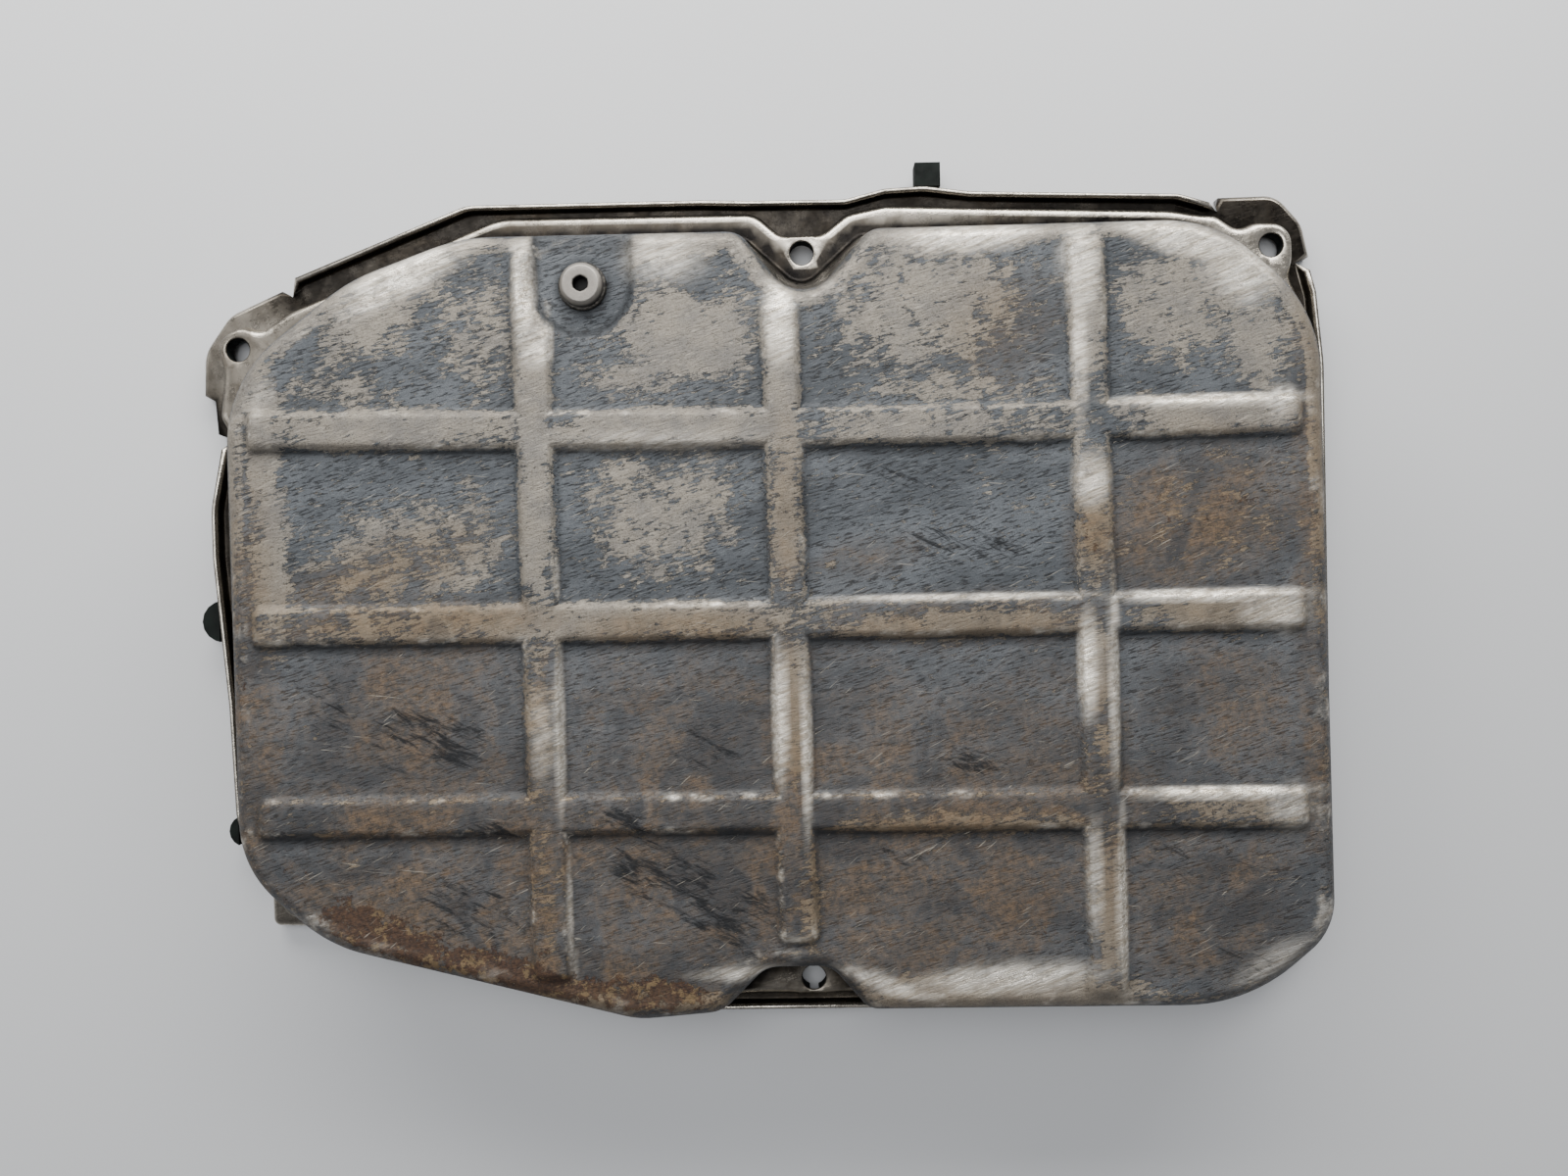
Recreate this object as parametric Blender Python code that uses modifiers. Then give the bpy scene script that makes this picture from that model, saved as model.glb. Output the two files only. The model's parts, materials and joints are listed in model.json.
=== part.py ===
"""A pressed-steel oil sump pan of an automatic gearbox, with its drain plug, gasket and magnet.

The pan lies open side down, as it does on a bench: the four turned-down rims at its corner bolt
holes carry it, and its ribbed bottom panel faces +Z. The long sides run along X. All outlines are
in millimetres in one drawing, which place() moves to the part's origin and turns into metres.
"""

import math

import bmesh
import bpy
from mathutils import Vector
from mathutils.geometry import delaunay_2d_cdt

MM = 0.001
COLLECTION = "oil_sump_pan"

# Heights above the surface that the pan lies on, mm. Those of the sheet are of its outer face.
GASKET_BOTTOM = 3.8
VALLEY = 7.0
LAND = 10.8
LIP_TOP = 13.4
PANEL = 51.5
SHEET = 1.2
RIB_HEIGHT = 2.2

# The part's origin in the drawing: the middle of its box, at the rims' ends.
ORIGIN_X = -6.95
ORIGIN_Y = 10.29
ORIGIN_Z = -0.163

# Sizes across the section of the sheet, mm.
SHOULDER_RADIUS = 6.0
SHOULDER_STEPS = 3
FILLET_RADIUS = 2.2
CREST_STEP = 0.8
EDGE_RUN = 2.0
# The bend between the valley and the turned edge: how far in from its face, and how far up or down.
LIP_BEND = (0.3, 1.0)
RIM_BEND = (0.5, 0.6)
# The gasket: in from the crest of the land, out from the foot of the wall, and its tabs.
GASKET_INSET = 1.6
GASKET_LEDGE = 0.8
STAND_LOW = GASKET_BOTTOM + 0.5
NUB_LENGTH = 9.0
# Where the panel's flat top edge lies in Y, and the bevel of the turned pieces.
PANEL_TOP_EDGE = 121.3
BEVEL = 0.7
ARC_POINTS = 4

# Fittings, mm.
BOLT_HOLE_RADIUS = 4.2
PLUG_X, PLUG_Y = -60.8, 109.6
POCKET_DEPTH = 2.5
POCKET_RADIUS = 14.7
POCKET_SLOPE = 2.5
PLUG_HOLE_RADIUS = 5.35
SHANK_RADIUS = 4.92
COLLAR_RADIUS = 7.0
COLLAR_HEIGHT = 3.5
SOCKET_ACROSS_FLATS = 5.0
SOCKET_DEPTH = 5.0
SHANK_LENGTH = 9.0
SEAL_RADIUS = 7.9
SEAL_BORE = 5.1
SEAL_HEIGHT = 1.4
NUT_ACROSS_FLATS = 15.0
NUT_BORE = 5.0
NUT_HEIGHT = 6.5
MAGNET_X, MAGNET_Y = 62.0, 33.0
MAGNET_RADIUS = 14.0
MAGNET_BORE = 4.0
MAGNET_HEIGHT = 6.0
GAP = 0.3

# Outlines, counter-clockwise: x, y and the radius of the corner.
# The wall where it meets the shoulder. The four corners of radius 0 are the sides of the plug's recess.
POCKET_SIDES = [
    PLUG_X + POCKET_RADIUS + POCKET_SLOPE,
    PLUG_X + POCKET_RADIUS,
    PLUG_X - POCKET_RADIUS,
    PLUG_X - POCKET_RADIUS - POCKET_SLOPE,
]
WALL_TOP = [
    (177.9, 97.5, 45), (144.3, 127.9, 42),
    (32.8, 127.3, 8), (9.9, 100.3, 12.3), (-9.6, 127.3, 9),
    *[(x, 127.3, 0) for x in POCKET_SIDES],
    (-101.4, 127.3, 60), (-138.4, 113.9, 60), (-180.0, 81.7, 45),
    (-177.5, -79.1, 35), (-148.2, -104.6, 50), (-47.0, -129.8, 30),
    (-19.5, -127.6, 12), (-5.0, -113.2, 10), (16.0, -113.0, 9), (28.3, -127.2, 7),
    (150.7, -127.2, 55), (179.5, -103.1, 22),
]
# The foot of the wall, corner by corner as WALL_TOP.
WALL_FOOT = [
    (180.9, 100.5, 42), (147.0, 134.0, 42),
    (31.0, 134.0, 7), (10.2, 115.2, 8), (-10.1, 134.0, 7),
    *[(x, 134.0, 0) for x in POCKET_SIDES],
    (-104.0, 134.0, 60), (-142.5, 120.0, 60), (-185.5, 85.5, 45),
    (-179.3, -79.8, 36), (-149.0, -105.2, 50), (-47.2, -130.4, 30),
    (-17.0, -128.6, 9), (-3.5, -118.5, 7), (19.6, -118.3, 6), (27.8, -127.8, 6),
    (149.5, -127.8, 55), (180.6, -102.6, 22),
]
# The outer edge of the land, which bends in behind each bolt hole.
CREST = [
    (187.4, -100.0, 8), (187.6, 84.0, 40), (186.2, 108.0, 12), (182.2, 116.5, 6),
    (183.4, 124.0, 6), (183.3, 136.0, 7), (170.5, 136.2, 6), (164.5, 133.8, 6), (157.0, 139.0, 6),
    (140.0, 141.6, 20), (70.0, 144.2, 40), (40.0, 145.4, 20), (27.0, 142.8, 4),
    (17.8, 135.3, 4), (3.2, 135.1, 4), (-6.3, 143.6, 4),
    (-97.0, 144.0, 25), (-173.0, 112.0, 8), (-183.5, 105.2, 6),
    (-190.5, 107.2, 5), (-200.0, 103.0, 7), (-197.0, 91.5, 8), (-198.5, 75.0, 5),
    (-192.2, 63.5, 5), (-197.0, 42.0, 30), (-196.7, 24.0, 30), (-191.8, -28.0, 60),
    (-189.6, -68.0, 8), (-181.5, -86.0, 8), (-178.8, -104.2, 6), (-165.5, -104.6, 6),
    (-152.0, -109.8, 10), (-49.0, -135.2, 25), (-22.0, -133.5, 20),
    (147.0, -133.0, 10), (162.5, -128.6, 8), (173.6, -125.4, 6), (182.0, -117.4, 6),
    (184.4, -110.0, 6),
]
# The outer edge of the sheet. The last value is the way it turns: 1 up, -1 down, 0 flat, at a cut.
LIP, RIM, CUT = 1, -1, 0
EDGE = [
    (192.2, -95.5, 0, LIP), (192.4, 86.0, 60, LIP), (190.2, 111.0, 10, LIP), (188.2, 118.5, 0, LIP),
    (187.4, 122.0, 0, CUT), (191.0, 125.2, 0, RIM), (188.6, 137.0, 12, RIM),
    (179.5, 147.4, 10, RIM), (159.3, 147.0, 0, RIM), (157.3, 143.2, 0, CUT),
    (153.5, 143.0, 0, LIP), (143.0, 146.2, 12, LIP), (94.0, 147.9, 80, LIP), (70.0, 148.8, 30, LIP),
    (54.0, 151.0, 30, LIP), (40.0, 150.4, 15, LIP), (26.0, 146.9, 12, LIP), (-8.0, 147.2, 20, LIP),
    (-25.0, 147.8, 40, LIP), (-108.0, 147.8, 15, LIP), (-169.5, 123.6, 0, LIP),
    (-173.5, 120.4, 0, CUT), (-177.4, 121.0, 0, RIM), (-196.5, 112.5, 12, RIM),
    (-206.0, 99.0, 14, RIM), (-206.3, 83.5, 0, RIM), (-203.6, 80.5, 0, CUT),
    (-202.6, 68.0, 0, CUT), (-197.6, 66.0, 0, CUT), (-196.9, 63.0, 0, LIP),
    (-200.9, 42.0, 30, LIP), (-200.6, 24.0, 30, LIP), (-195.7, -28.0, 60, LIP),
    (-193.8, -67.0, 20, LIP), (-190.4, -80.5, 0, LIP), (-189.2, -83.5, 0, CUT),
    (-187.8, -86.5, 0, RIM), (-184.8, -93.0, 8, RIM), (-184.4, -108.4, 3, RIM), (-171.0, -108.8, 3, RIM),
    (-158.0, -114.2, 6, RIM), (-154.0, -113.4, 0, CUT), (-150.5, -114.5, 0, LIP),
    (-47.0, -139.6, 25, LIP), (-22.0, -137.8, 20, LIP), (145.0, -137.6, 0, LIP),
    (149.0, -136.6, 0, CUT), (152.0, -137.4, 0, RIM), (165.0, -134.2, 12, RIM),
    (177.0, -127.6, 12, RIM), (188.8, -116.4, 12, RIM), (192.0, -101.5, 0, RIM),
    (191.3, -98.5, 0, CUT),
]
BOLT_HOLES = [
    (-191.6, 99.0), (10.5, 129.1), (175.9, 128.3),
    (-171.0, -97.6), (10.5, -127.6), (172.4, -119.0),
]
# Rubber nubs of the gasket beyond the left edge: centre, radius, and where their upstand begins in X.
NUBS = [(-198.6, 2.0, 7.4, -199.9), (-192.0, -73.0, 5.6, -194.3)]
# Ribs of the panel: the two ends of each centre line, x1, y1, x2, y2.
RIB_WIDTH = 11.0
RIB_SLOPE = 1.6
RIBS = [
    (-169.4, 64.6, 168.6, 63.8), (-169.4, 0.8, 169.4, 1.3), (-168.4, -61.6, 168.8, -62.4),
    (-77.9, 118.4, -74.0, -111.5), (3.0, 99.2, 6.0, -101.8), (101.5, 118.6, 104.9, -118.6),
]


def outline(corners, arc_points=ARC_POINTS):
    """The points of a closed outline with its corners rounded, arc_points to each round corner."""
    points = []
    count = len(corners)
    for i, (x, y, radius) in enumerate(corners):
        here = Vector((x, y))
        before = Vector(corners[i - 1][:2])
        after = Vector(corners[(i + 1) % count][:2])
        back = (before - here).normalized()
        ahead = (after - here).normalized()
        half = back.angle(ahead) / 2
        if radius == 0:
            points.append(here)
            continue
        middle = (back + ahead).normalized()
        centre = here + middle * (radius / math.sin(half))
        start = here + back * (radius / math.tan(half)) - centre
        end = here + ahead * (radius / math.tan(half)) - centre
        sweep = start.angle_signed(end)
        for k in range(arc_points):
            angle = -sweep * k / (arc_points - 1)
            turned = Vector(
                (
                    start.x * math.cos(angle) - start.y * math.sin(angle),
                    start.x * math.sin(angle) + start.y * math.cos(angle),
                )
            )
            points.append(centre + turned)
    return points


def offset(points, distance):
    """The closed outline moved outwards by distance, point by point."""
    moved = []
    count = len(points)
    for i, here in enumerate(points):
        back = (here - points[i - 1]).normalized()
        ahead = (points[(i + 1) % count] - here).normalized()
        across = Vector(((back + ahead).y, -(back + ahead).x)).normalized()
        stretch = max(across.dot(Vector((ahead.y, -ahead.x))), 0.5)
        amount = distance[i] if isinstance(distance, list) else distance
        moved.append(here + across * (amount / stretch))
    return moved


def place(x, y, z):
    """A point of the drawing, mm, as a point of the part, m."""
    return Vector(((x - ORIGIN_X) * MM, (y - ORIGIN_Y) * MM, (z - ORIGIN_Z) * MM))


def to_segment(x, y, x1, y1, x2, y2):
    """The distances of a point along and across the line from (x1, y1) to (x2, y2), and its length."""
    length = math.hypot(x2 - x1, y2 - y1)
    ux, uy = (x2 - x1) / length, (y2 - y1) / length
    along = (x - x1) * ux + (y - y1) * uy
    across = (x - x1) * -uy + (y - y1) * ux
    return along, across, length


def rib_rise(x, y):
    """How far the ribs stand above the panel at a point."""
    rise = 0.0
    for rib in RIBS:
        along, across, length = to_segment(x, y, *rib)
        inside = min(RIB_WIDTH / 2 - abs(across), along, length - along)
        rise = max(rise, min(1.0, 1.0 + inside / RIB_SLOPE))
    return rise * RIB_HEIGHT


def pocket_level(x, y):
    """The height of the plug's recess at a point. It rises without end outside the recess."""
    out = math.hypot(x - PLUG_X, min(y - PLUG_Y, 0.0))
    return PANEL - POCKET_DEPTH + max(0.0, out - POCKET_RADIUS) * POCKET_DEPTH / POCKET_SLOPE


def inside(polygon, x, y):
    """Whether a point is inside a closed outline."""
    crossings = 0
    for i, b in enumerate(polygon):
        a = polygon[i - 1]
        if (a.y > y) != (b.y > y) and x < a.x + (y - a.y) / (b.y - a.y) * (b.x - a.x):
            crossings += 1
    return crossings % 2 == 1


class Sheet:
    """The outer face of the pressing, made loop by loop."""

    def __init__(self):
        self.mesh = bmesh.new()

    def loop(self, points, height):
        """One closed loop of vertices. The height is a number or one number for each point."""
        made = []
        for i, point in enumerate(points):
            z = height[i] if isinstance(height, list) else height
            z = min(z, pocket_level(point.x, point.y))
            made.append(self.mesh.verts.new(place(point.x, point.y, z)))
        return made

    def bridge(self, inner, outer):
        """Quads between two loops that match point by point."""
        for i in range(len(inner)):
            corners = [inner[i - 1], outer[i - 1], outer[i], inner[i]]
            unique = list(dict.fromkeys(corners))
            if len(unique) > 2 and self.mesh.faces.get(unique) is None:
                self.mesh.faces.new(unique)

    def fill(self, loops, lines, height_at, outside, hole=None):
        """Triangles over the flat region between loops, with every loop and line kept as edges."""
        spots, verts, edges = [], [], []
        for points, made in loops:
            first = len(spots)
            spots.extend(points)
            verts.extend(made)
            edges.extend((first + i, first + (i + 1) % len(points)) for i in range(len(points)))
        for points, closed in lines:
            first = len(spots)
            spots.extend(points)
            verts.extend([None] * len(points))
            ends = len(points) if closed else len(points) - 1
            edges.extend((first + i, first + (i + 1) % len(points)) for i in range(ends))
        found = delaunay_2d_cdt(spots, edges, [], 0, 1e-5)
        placed = []
        for spot, sources in zip(found[0], found[3], strict=True):
            given = [verts[k] for k in sources if verts[k] is not None]
            if given:
                placed.append(given[0])
            else:
                placed.append(self.mesh.verts.new(place(spot.x, spot.y, height_at(spot.x, spot.y))))
        for face in found[2]:
            centre = sum((found[0][k] for k in face), Vector((0, 0))) / len(face)
            if not inside(outside, centre.x, centre.y):
                continue
            if hole and inside(hole, centre.x, centre.y):
                continue
            self.mesh.faces.new([placed[k] for k in face])


def rib_lines():
    """The outlines of the ribs at their tops and at their feet."""
    lines = []
    for x1, y1, x2, y2 in RIBS:
        length = math.hypot(x2 - x1, y2 - y1)
        ux, uy = (x2 - x1) / length, (y2 - y1) / length
        for grow in (0.0, RIB_SLOPE):
            half = RIB_WIDTH / 2 + grow
            corners = []
            for end, side in ((-grow, -half), (length + grow, -half), (length + grow, half), (-grow, half)):
                corners.append(Vector((x1 + ux * end - uy * side, y1 + uy * end + ux * side)))
            lines.append((corners, True))
    return lines


def pocket_lines(boundary):
    """The outline of the recess's floor and of its upper edge, each ending on the panel's boundary."""
    lines = []
    for radius in (POCKET_RADIUS, POCKET_RADIUS + POCKET_SLOPE):
        ends = [
            min(boundary, key=lambda p: (p - Vector((PLUG_X + side * radius, PANEL_TOP_EDGE))).length)
            for side in (1, -1)
        ]
        arc = [
            Vector((PLUG_X + radius * math.cos(angle), PLUG_Y + radius * math.sin(angle)))
            for angle in (-math.pi * k / 10 for k in range(11))
        ]
        lines.append(([ends[0], *arc, ends[1]], False))
    return lines


def make_shell_mesh():
    """The pressing's outer face: panel, shoulder, wall, land, valley and turned edge."""
    sheet = Sheet()
    top = outline(WALL_TOP)
    foot = outline(WALL_FOOT)

    # The shoulder, from the flat panel's boundary to the wall.
    loops = []
    for k in range(SHOULDER_STEPS + 1):
        angle = math.pi / 2 * k / SHOULDER_STEPS
        points = offset(top, SHOULDER_RADIUS * (math.sin(angle) - 1))
        loops.append((points, PANEL - SHOULDER_RADIUS * (1 - math.cos(angle))))
    boundary = loops[0][0]

    # The wall, and the fillet at its foot.
    for angle in (0.0, math.pi / 4, math.pi / 2):
        points = offset(foot, FILLET_RADIUS * (1 - math.cos(angle)))
        loops.append((points, LAND + FILLET_RADIUS * (1 - math.sin(angle))))
    made = [sheet.loop(points, height) for points, height in loops]
    for inner, outer in zip(made, made[1:], strict=False):
        sheet.bridge(inner, outer)

    # The ribbed panel inside the shoulder.
    sheet.fill(
        [(boundary, made[0])],
        rib_lines() + pocket_lines(boundary),
        lambda x, y: min(PANEL + rib_rise(x, y), pocket_level(x, y)),
        boundary,
    )

    # The turned edge: a lip up between the bolts, a rim down at the bolt ears.
    corners = [(x, y, radius) for x, y, radius, turn in EDGE]
    edge = outline(corners, 3)
    turns = [turn for x, y, radius, turn in EDGE for _ in range(3 if radius else 1)]
    root = offset(edge, -EDGE_RUN)
    valley_edge = sheet.loop(root, VALLEY)
    bend = sheet.loop(
        offset(edge, [(-EDGE_RUN, -SHEET - LIP_BEND[0], -RIM_BEND[0])[turn] for turn in turns]),
        [VALLEY + (0.0, LIP_BEND[1], -RIM_BEND[1])[turn] for turn in turns],
    )
    end = sheet.loop(
        offset(edge, [(-EDGE_RUN, -SHEET, 0.0)[turn] for turn in turns]),
        [(VALLEY, LIP_TOP, 0.0)[turn] for turn in turns],
    )
    for i, turn in enumerate(turns):
        if turn == CUT:
            sheet.mesh.verts.remove(bend[i])
            sheet.mesh.verts.remove(end[i])
            bend[i] = end[i] = valley_edge[i]
    sheet.bridge(valley_edge, bend)
    sheet.bridge(bend, end)

    # The flange between them: the land, the step at its crest, and the valley.
    crest = outline(CREST, 3)
    crest_foot = offset(crest, CREST_STEP)
    land_edge = sheet.loop(crest, LAND)
    valley_start = sheet.loop(crest_foot, VALLEY)
    sheet.fill([(loops[-1][0], made[-1]), (crest, land_edge)], [], lambda x, y: LAND, crest, loops[-1][0])
    sheet.bridge(land_edge, valley_start)
    sheet.fill([(crest_foot, valley_start), (root, valley_edge)], [], lambda x, y: VALLEY, root, crest_foot)

    bmesh.ops.remove_doubles(sheet.mesh, verts=sheet.mesh.verts, dist=1e-5)
    bmesh.ops.dissolve_degenerate(sheet.mesh, edges=sheet.mesh.edges, dist=1e-5)
    bmesh.ops.recalc_face_normals(sheet.mesh, faces=sheet.mesh.faces)
    highest = max(sheet.mesh.faces, key=lambda face: face.calc_center_median().z)
    if highest.normal.z < 0:
        bmesh.ops.reverse_faces(sheet.mesh, faces=sheet.mesh.faces)
    mesh = bpy.data.meshes.new("pan_shell")
    sheet.mesh.to_mesh(mesh)
    sheet.mesh.free()
    return mesh


def collection(name):
    made = bpy.data.collections.new(name)
    bpy.context.scene.collection.children.link(made)
    return made


def material(name, color, roughness, metallic):
    made = bpy.data.materials.new(name)
    made.use_nodes = True
    shader = made.node_tree.nodes["Principled BSDF"]
    shader.inputs["Base Color"].default_value = (*color, 1.0)
    shader.inputs["Roughness"].default_value = roughness
    shader.inputs["Metallic"].default_value = metallic
    made.diffuse_color = (*color, 1.0)
    return made


def add_object(name, mesh, home, finish=None, location=(0, 0, 0)):
    obj = bpy.data.objects.new(name, mesh)
    obj.location = location
    home.objects.link(obj)
    if finish:
        mesh.materials.append(finish)
    return obj


def add_cutter(name, mesh, location=(0, 0, 0)):
    cutter = add_object(name, mesh, CUTTERS, location=location)
    cutter.hide_render = True
    cutter.display_type = "WIRE"
    return cutter


def prism_mesh(name, radius, low, high, sides):
    """An upright prism or cylinder about its own Z axis, from low to high, mm."""
    made = bmesh.new()
    bmesh.ops.create_cone(
        made, cap_ends=True, segments=sides, radius1=radius * MM, radius2=radius * MM,
        depth=(high - low) * MM,
    )
    for vert in made.verts:
        vert.co.z += (low + high) / 2 * MM
    mesh = bpy.data.meshes.new(name)
    made.to_mesh(mesh)
    made.free()
    return mesh


def flat_mesh(name, points, low, high):
    """A flat outline of the drawing raised into a solid from low to high, mm."""
    made = bmesh.new()
    face = made.faces.new([made.verts.new(place(p.x, p.y, low)) for p in points])
    raised = bmesh.ops.extrude_face_region(made, geom=[face])
    for vert in (v for v in raised["geom"] if isinstance(v, bmesh.types.BMVert)):
        vert.co.z = (high - ORIGIN_Z) * MM
    bmesh.ops.recalc_face_normals(made, faces=made.faces)
    mesh = bpy.data.meshes.new(name)
    made.to_mesh(mesh)
    made.free()
    return mesh


def cut(obj, cutter, operation="DIFFERENCE"):
    boolean = obj.modifiers.new(operation.lower(), "BOOLEAN")
    boolean.operation = operation
    boolean.object = cutter
    boolean.solver = "EXACT"


def turned(obj, steps):
    """Turns a profile drawn in the XZ plane into a round body about the object's Z axis."""
    screw = obj.modifiers.new("turn", "SCREW")
    screw.steps = steps
    screw.render_steps = steps
    screw.use_merge_vertices = True
    screw.merge_threshold = 1e-5
    screw.use_smooth_shade = True


def profile_mesh(name, points, closed=True):
    """A profile of straight lines, radius and height in mm, for turned()."""
    mesh = bpy.data.meshes.new(name)
    verts = [(radius * MM, 0, height * MM) for radius, height in points]
    edges = [(i, i + 1) for i in range(len(points) - 1)]
    if closed:
        edges.append((len(points) - 1, 0))
    mesh.from_pydata(verts, edges, [])
    return mesh


def add_pan_shell():
    steel = material("worn_painted_steel", (0.13, 0.12, 0.11), 0.5, 0.6)
    shell = add_object("pan_shell", make_shell_mesh(), PARTS, steel)
    solidify = shell.modifiers.new("sheet", "SOLIDIFY")
    solidify.thickness = SHEET * MM
    solidify.offset = -1
    solidify.use_even_offset = True
    for i, (x, y) in enumerate(BOLT_HOLES):
        drill = prism_mesh(f"bolt_drill_{i}", BOLT_HOLE_RADIUS, VALLEY - 5, LAND + 4, 20)
        cut(shell, add_cutter(f"bolt_drill_{i}", drill, place(x, y, 0)))
    drill = prism_mesh("plug_drill", PLUG_HOLE_RADIUS, PANEL - 9, PANEL + 4, 24)
    cut(shell, add_cutter("plug_drill", drill, place(PLUG_X, PLUG_Y, 0)))
    return shell


def add_gasket():
    """The gasket fills the groove under the land, with holes for the bolts and tabs round the edge."""
    rubber = material("gasket_rubber", (0.012, 0.02, 0.016), 0.55, 0.0)
    outer = offset(outline(CREST, 3), -GASKET_INSET)
    inner = offset(outline(WALL_FOOT), GASKET_LEDGE)
    top = LAND - SHEET - GAP
    ring = add_object("pan_gasket", flat_mesh("pan_gasket", outer, GASKET_BOTTOM, top), PARTS, rubber)
    middle = flat_mesh("gasket_middle", inner, GASKET_BOTTOM - 2, top + 2)
    cut(ring, add_cutter("gasket_middle", middle))
    for i, (x, y) in enumerate(BOLT_HOLES):
        drill = prism_mesh(f"gasket_drill_{i}", BOLT_HOLE_RADIUS + 0.3, GASKET_BOTTOM - 2, top + 2, 20)
        cut(ring, add_cutter(f"gasket_drill_{i}", drill, place(x, y, 0)))
    for i, tab in enumerate(gasket_tabs()):
        cut(ring, add_cutter(f"gasket_tab_{i}", tab), "UNION")
    return ring


def gasket_tabs():
    """The tabs: a strip under the valley, and an upstand outside the lip."""
    tabs = []
    strip_top = VALLEY - SHEET - GAP
    top_tab = [Vector(p) for p in ((50.9, 139.0), (59.9, 139.0), (59.9, 159.9), (50.9, 159.9))]
    tabs.append(flat_mesh("top_strip", top_tab, GASKET_BOTTOM, strip_top))
    stand = [Vector(p) for p in ((50.9, 151.6), (59.9, 151.6), (59.9, 159.9), (50.9, 159.9))]
    tabs.append(flat_mesh("top_stand", stand, STAND_LOW, LAND + 1))
    for i, (x, y, radius, lip_x) in enumerate(NUBS):
        inner_x = x + NUB_LENGTH
        arc = [
            Vector((x + radius * math.cos(a), y + radius * math.sin(a)))
            for a in (math.pi / 2 + math.pi * k / 8 for k in range(9))
        ]
        body = [Vector((inner_x, y + radius)), *arc, Vector((inner_x, y - radius))]
        tabs.append(flat_mesh(f"nub_{i}_strip", body, GASKET_BOTTOM, strip_top))
        outside = [p for p in arc if p.x < lip_x]
        reach = math.sqrt(radius**2 - (lip_x - x) ** 2) if abs(lip_x - x) < radius else radius
        stand = [Vector((lip_x, y + reach)), *outside, Vector((lip_x, y - reach))]
        tabs.append(flat_mesh(f"nub_{i}_stand", stand, STAND_LOW, LAND))
    return tabs


def add_drain_fittings():
    """The plug, its sealing ring outside the recess's floor, and the weld nut inside it."""
    floor = PANEL - POCKET_DEPTH
    axis = bpy.data.objects.new("plug_axis", None)
    axis.location = place(PLUG_X, PLUG_Y, 0)
    PARTS.objects.link(axis)
    seal_low = floor + GAP
    seal_top = seal_low + SEAL_HEIGHT
    seal_profile = [
        (SEAL_RADIUS, seal_top), (SEAL_RADIUS, seal_low), (SEAL_BORE, seal_low), (SEAL_BORE, seal_top),
    ]
    ring_metal = material("seal_ring", (0.05, 0.045, 0.04), 0.5, 0.5)
    seal = add_object("drain_plug_seal", profile_mesh("drain_plug_seal", seal_profile), PARTS, ring_metal)
    turned(seal, 32)

    head_low = seal_top + GAP
    head_top = head_low + COLLAR_HEIGHT
    end = head_low - SHANK_LENGTH
    plug_profile = [
        (0.0, head_top), (COLLAR_RADIUS - BEVEL, head_top), (COLLAR_RADIUS, head_top - BEVEL),
        (COLLAR_RADIUS, head_low), (SHANK_RADIUS, head_low), (SHANK_RADIUS, end + BEVEL),
        (SHANK_RADIUS - BEVEL, end), (0.0, end),
    ]
    zinc = material("plug_steel", (0.45, 0.43, 0.41), 0.4, 0.9)
    plug = add_object("drain_plug", profile_mesh("drain_plug", plug_profile, closed=False), PARTS, zinc)
    turned(plug, 32)
    corner = SOCKET_ACROSS_FLATS / 2 / math.cos(math.pi / 6)
    key = prism_mesh("hex_key", corner, head_top - SOCKET_DEPTH, head_top + 3, 6)
    socket = add_cutter("hex_key", key)
    socket.parent = axis
    cut(plug, socket)

    nut_top = floor - SHEET - GAP
    nut_corner = NUT_ACROSS_FLATS / 2 / math.cos(math.pi / 6)
    nut_steel = material("nut_steel", (0.2, 0.19, 0.18), 0.5, 0.8)
    nut_mesh = prism_mesh("drain_nut", nut_corner, nut_top - NUT_HEIGHT, nut_top, 6)
    nut = add_object("drain_nut", nut_mesh, PARTS, nut_steel)
    thread = prism_mesh("nut_thread", NUT_BORE, nut_top - NUT_HEIGHT - 2, nut_top + 2, 32)
    bore = add_cutter("nut_thread", thread)
    bore.parent = axis
    cut(nut, bore)
    for piece in (seal, plug, nut):
        piece.parent = axis


def add_magnet():
    """A ring magnet on the inside of the panel."""
    top = PANEL - SHEET - GAP
    low = top - MAGNET_HEIGHT
    profile = [
        (MAGNET_RADIUS, top), (MAGNET_RADIUS, low + BEVEL), (MAGNET_RADIUS - BEVEL, low),
        (MAGNET_BORE, low), (MAGNET_BORE, top),
    ]
    ferrite = material("magnet_ferrite", (0.05, 0.05, 0.055), 0.6, 0.3)
    mesh = profile_mesh("pan_magnet", profile)
    magnet = add_object("pan_magnet", mesh, PARTS, ferrite, place(MAGNET_X, MAGNET_Y, 0))
    turned(magnet, 32)


for old in list(bpy.data.objects):
    bpy.data.objects.remove(old)
PARTS = collection(COLLECTION)
CUTTERS = collection("cutters")
add_pan_shell()
add_gasket()
add_drain_fittings()
add_magnet()
for obj in PARTS.objects:
    if obj.type == "MESH":
        obj.data.shade_smooth()
        obj.data.set_sharp_from_angle(angle=math.radians(30))
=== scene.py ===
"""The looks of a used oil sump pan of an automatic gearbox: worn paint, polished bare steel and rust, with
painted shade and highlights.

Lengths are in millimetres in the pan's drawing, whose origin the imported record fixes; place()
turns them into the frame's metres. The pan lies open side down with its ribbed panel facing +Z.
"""

import json
from functools import partialmethod
from itertools import pairwise
from math import ceil, cos, pi, radians, sin, tan

import bmesh
import bpy
import numpy as np
from mathutils import Matrix, Vector, noise
from mathutils.geometry import delaunay_2d_cdt


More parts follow.
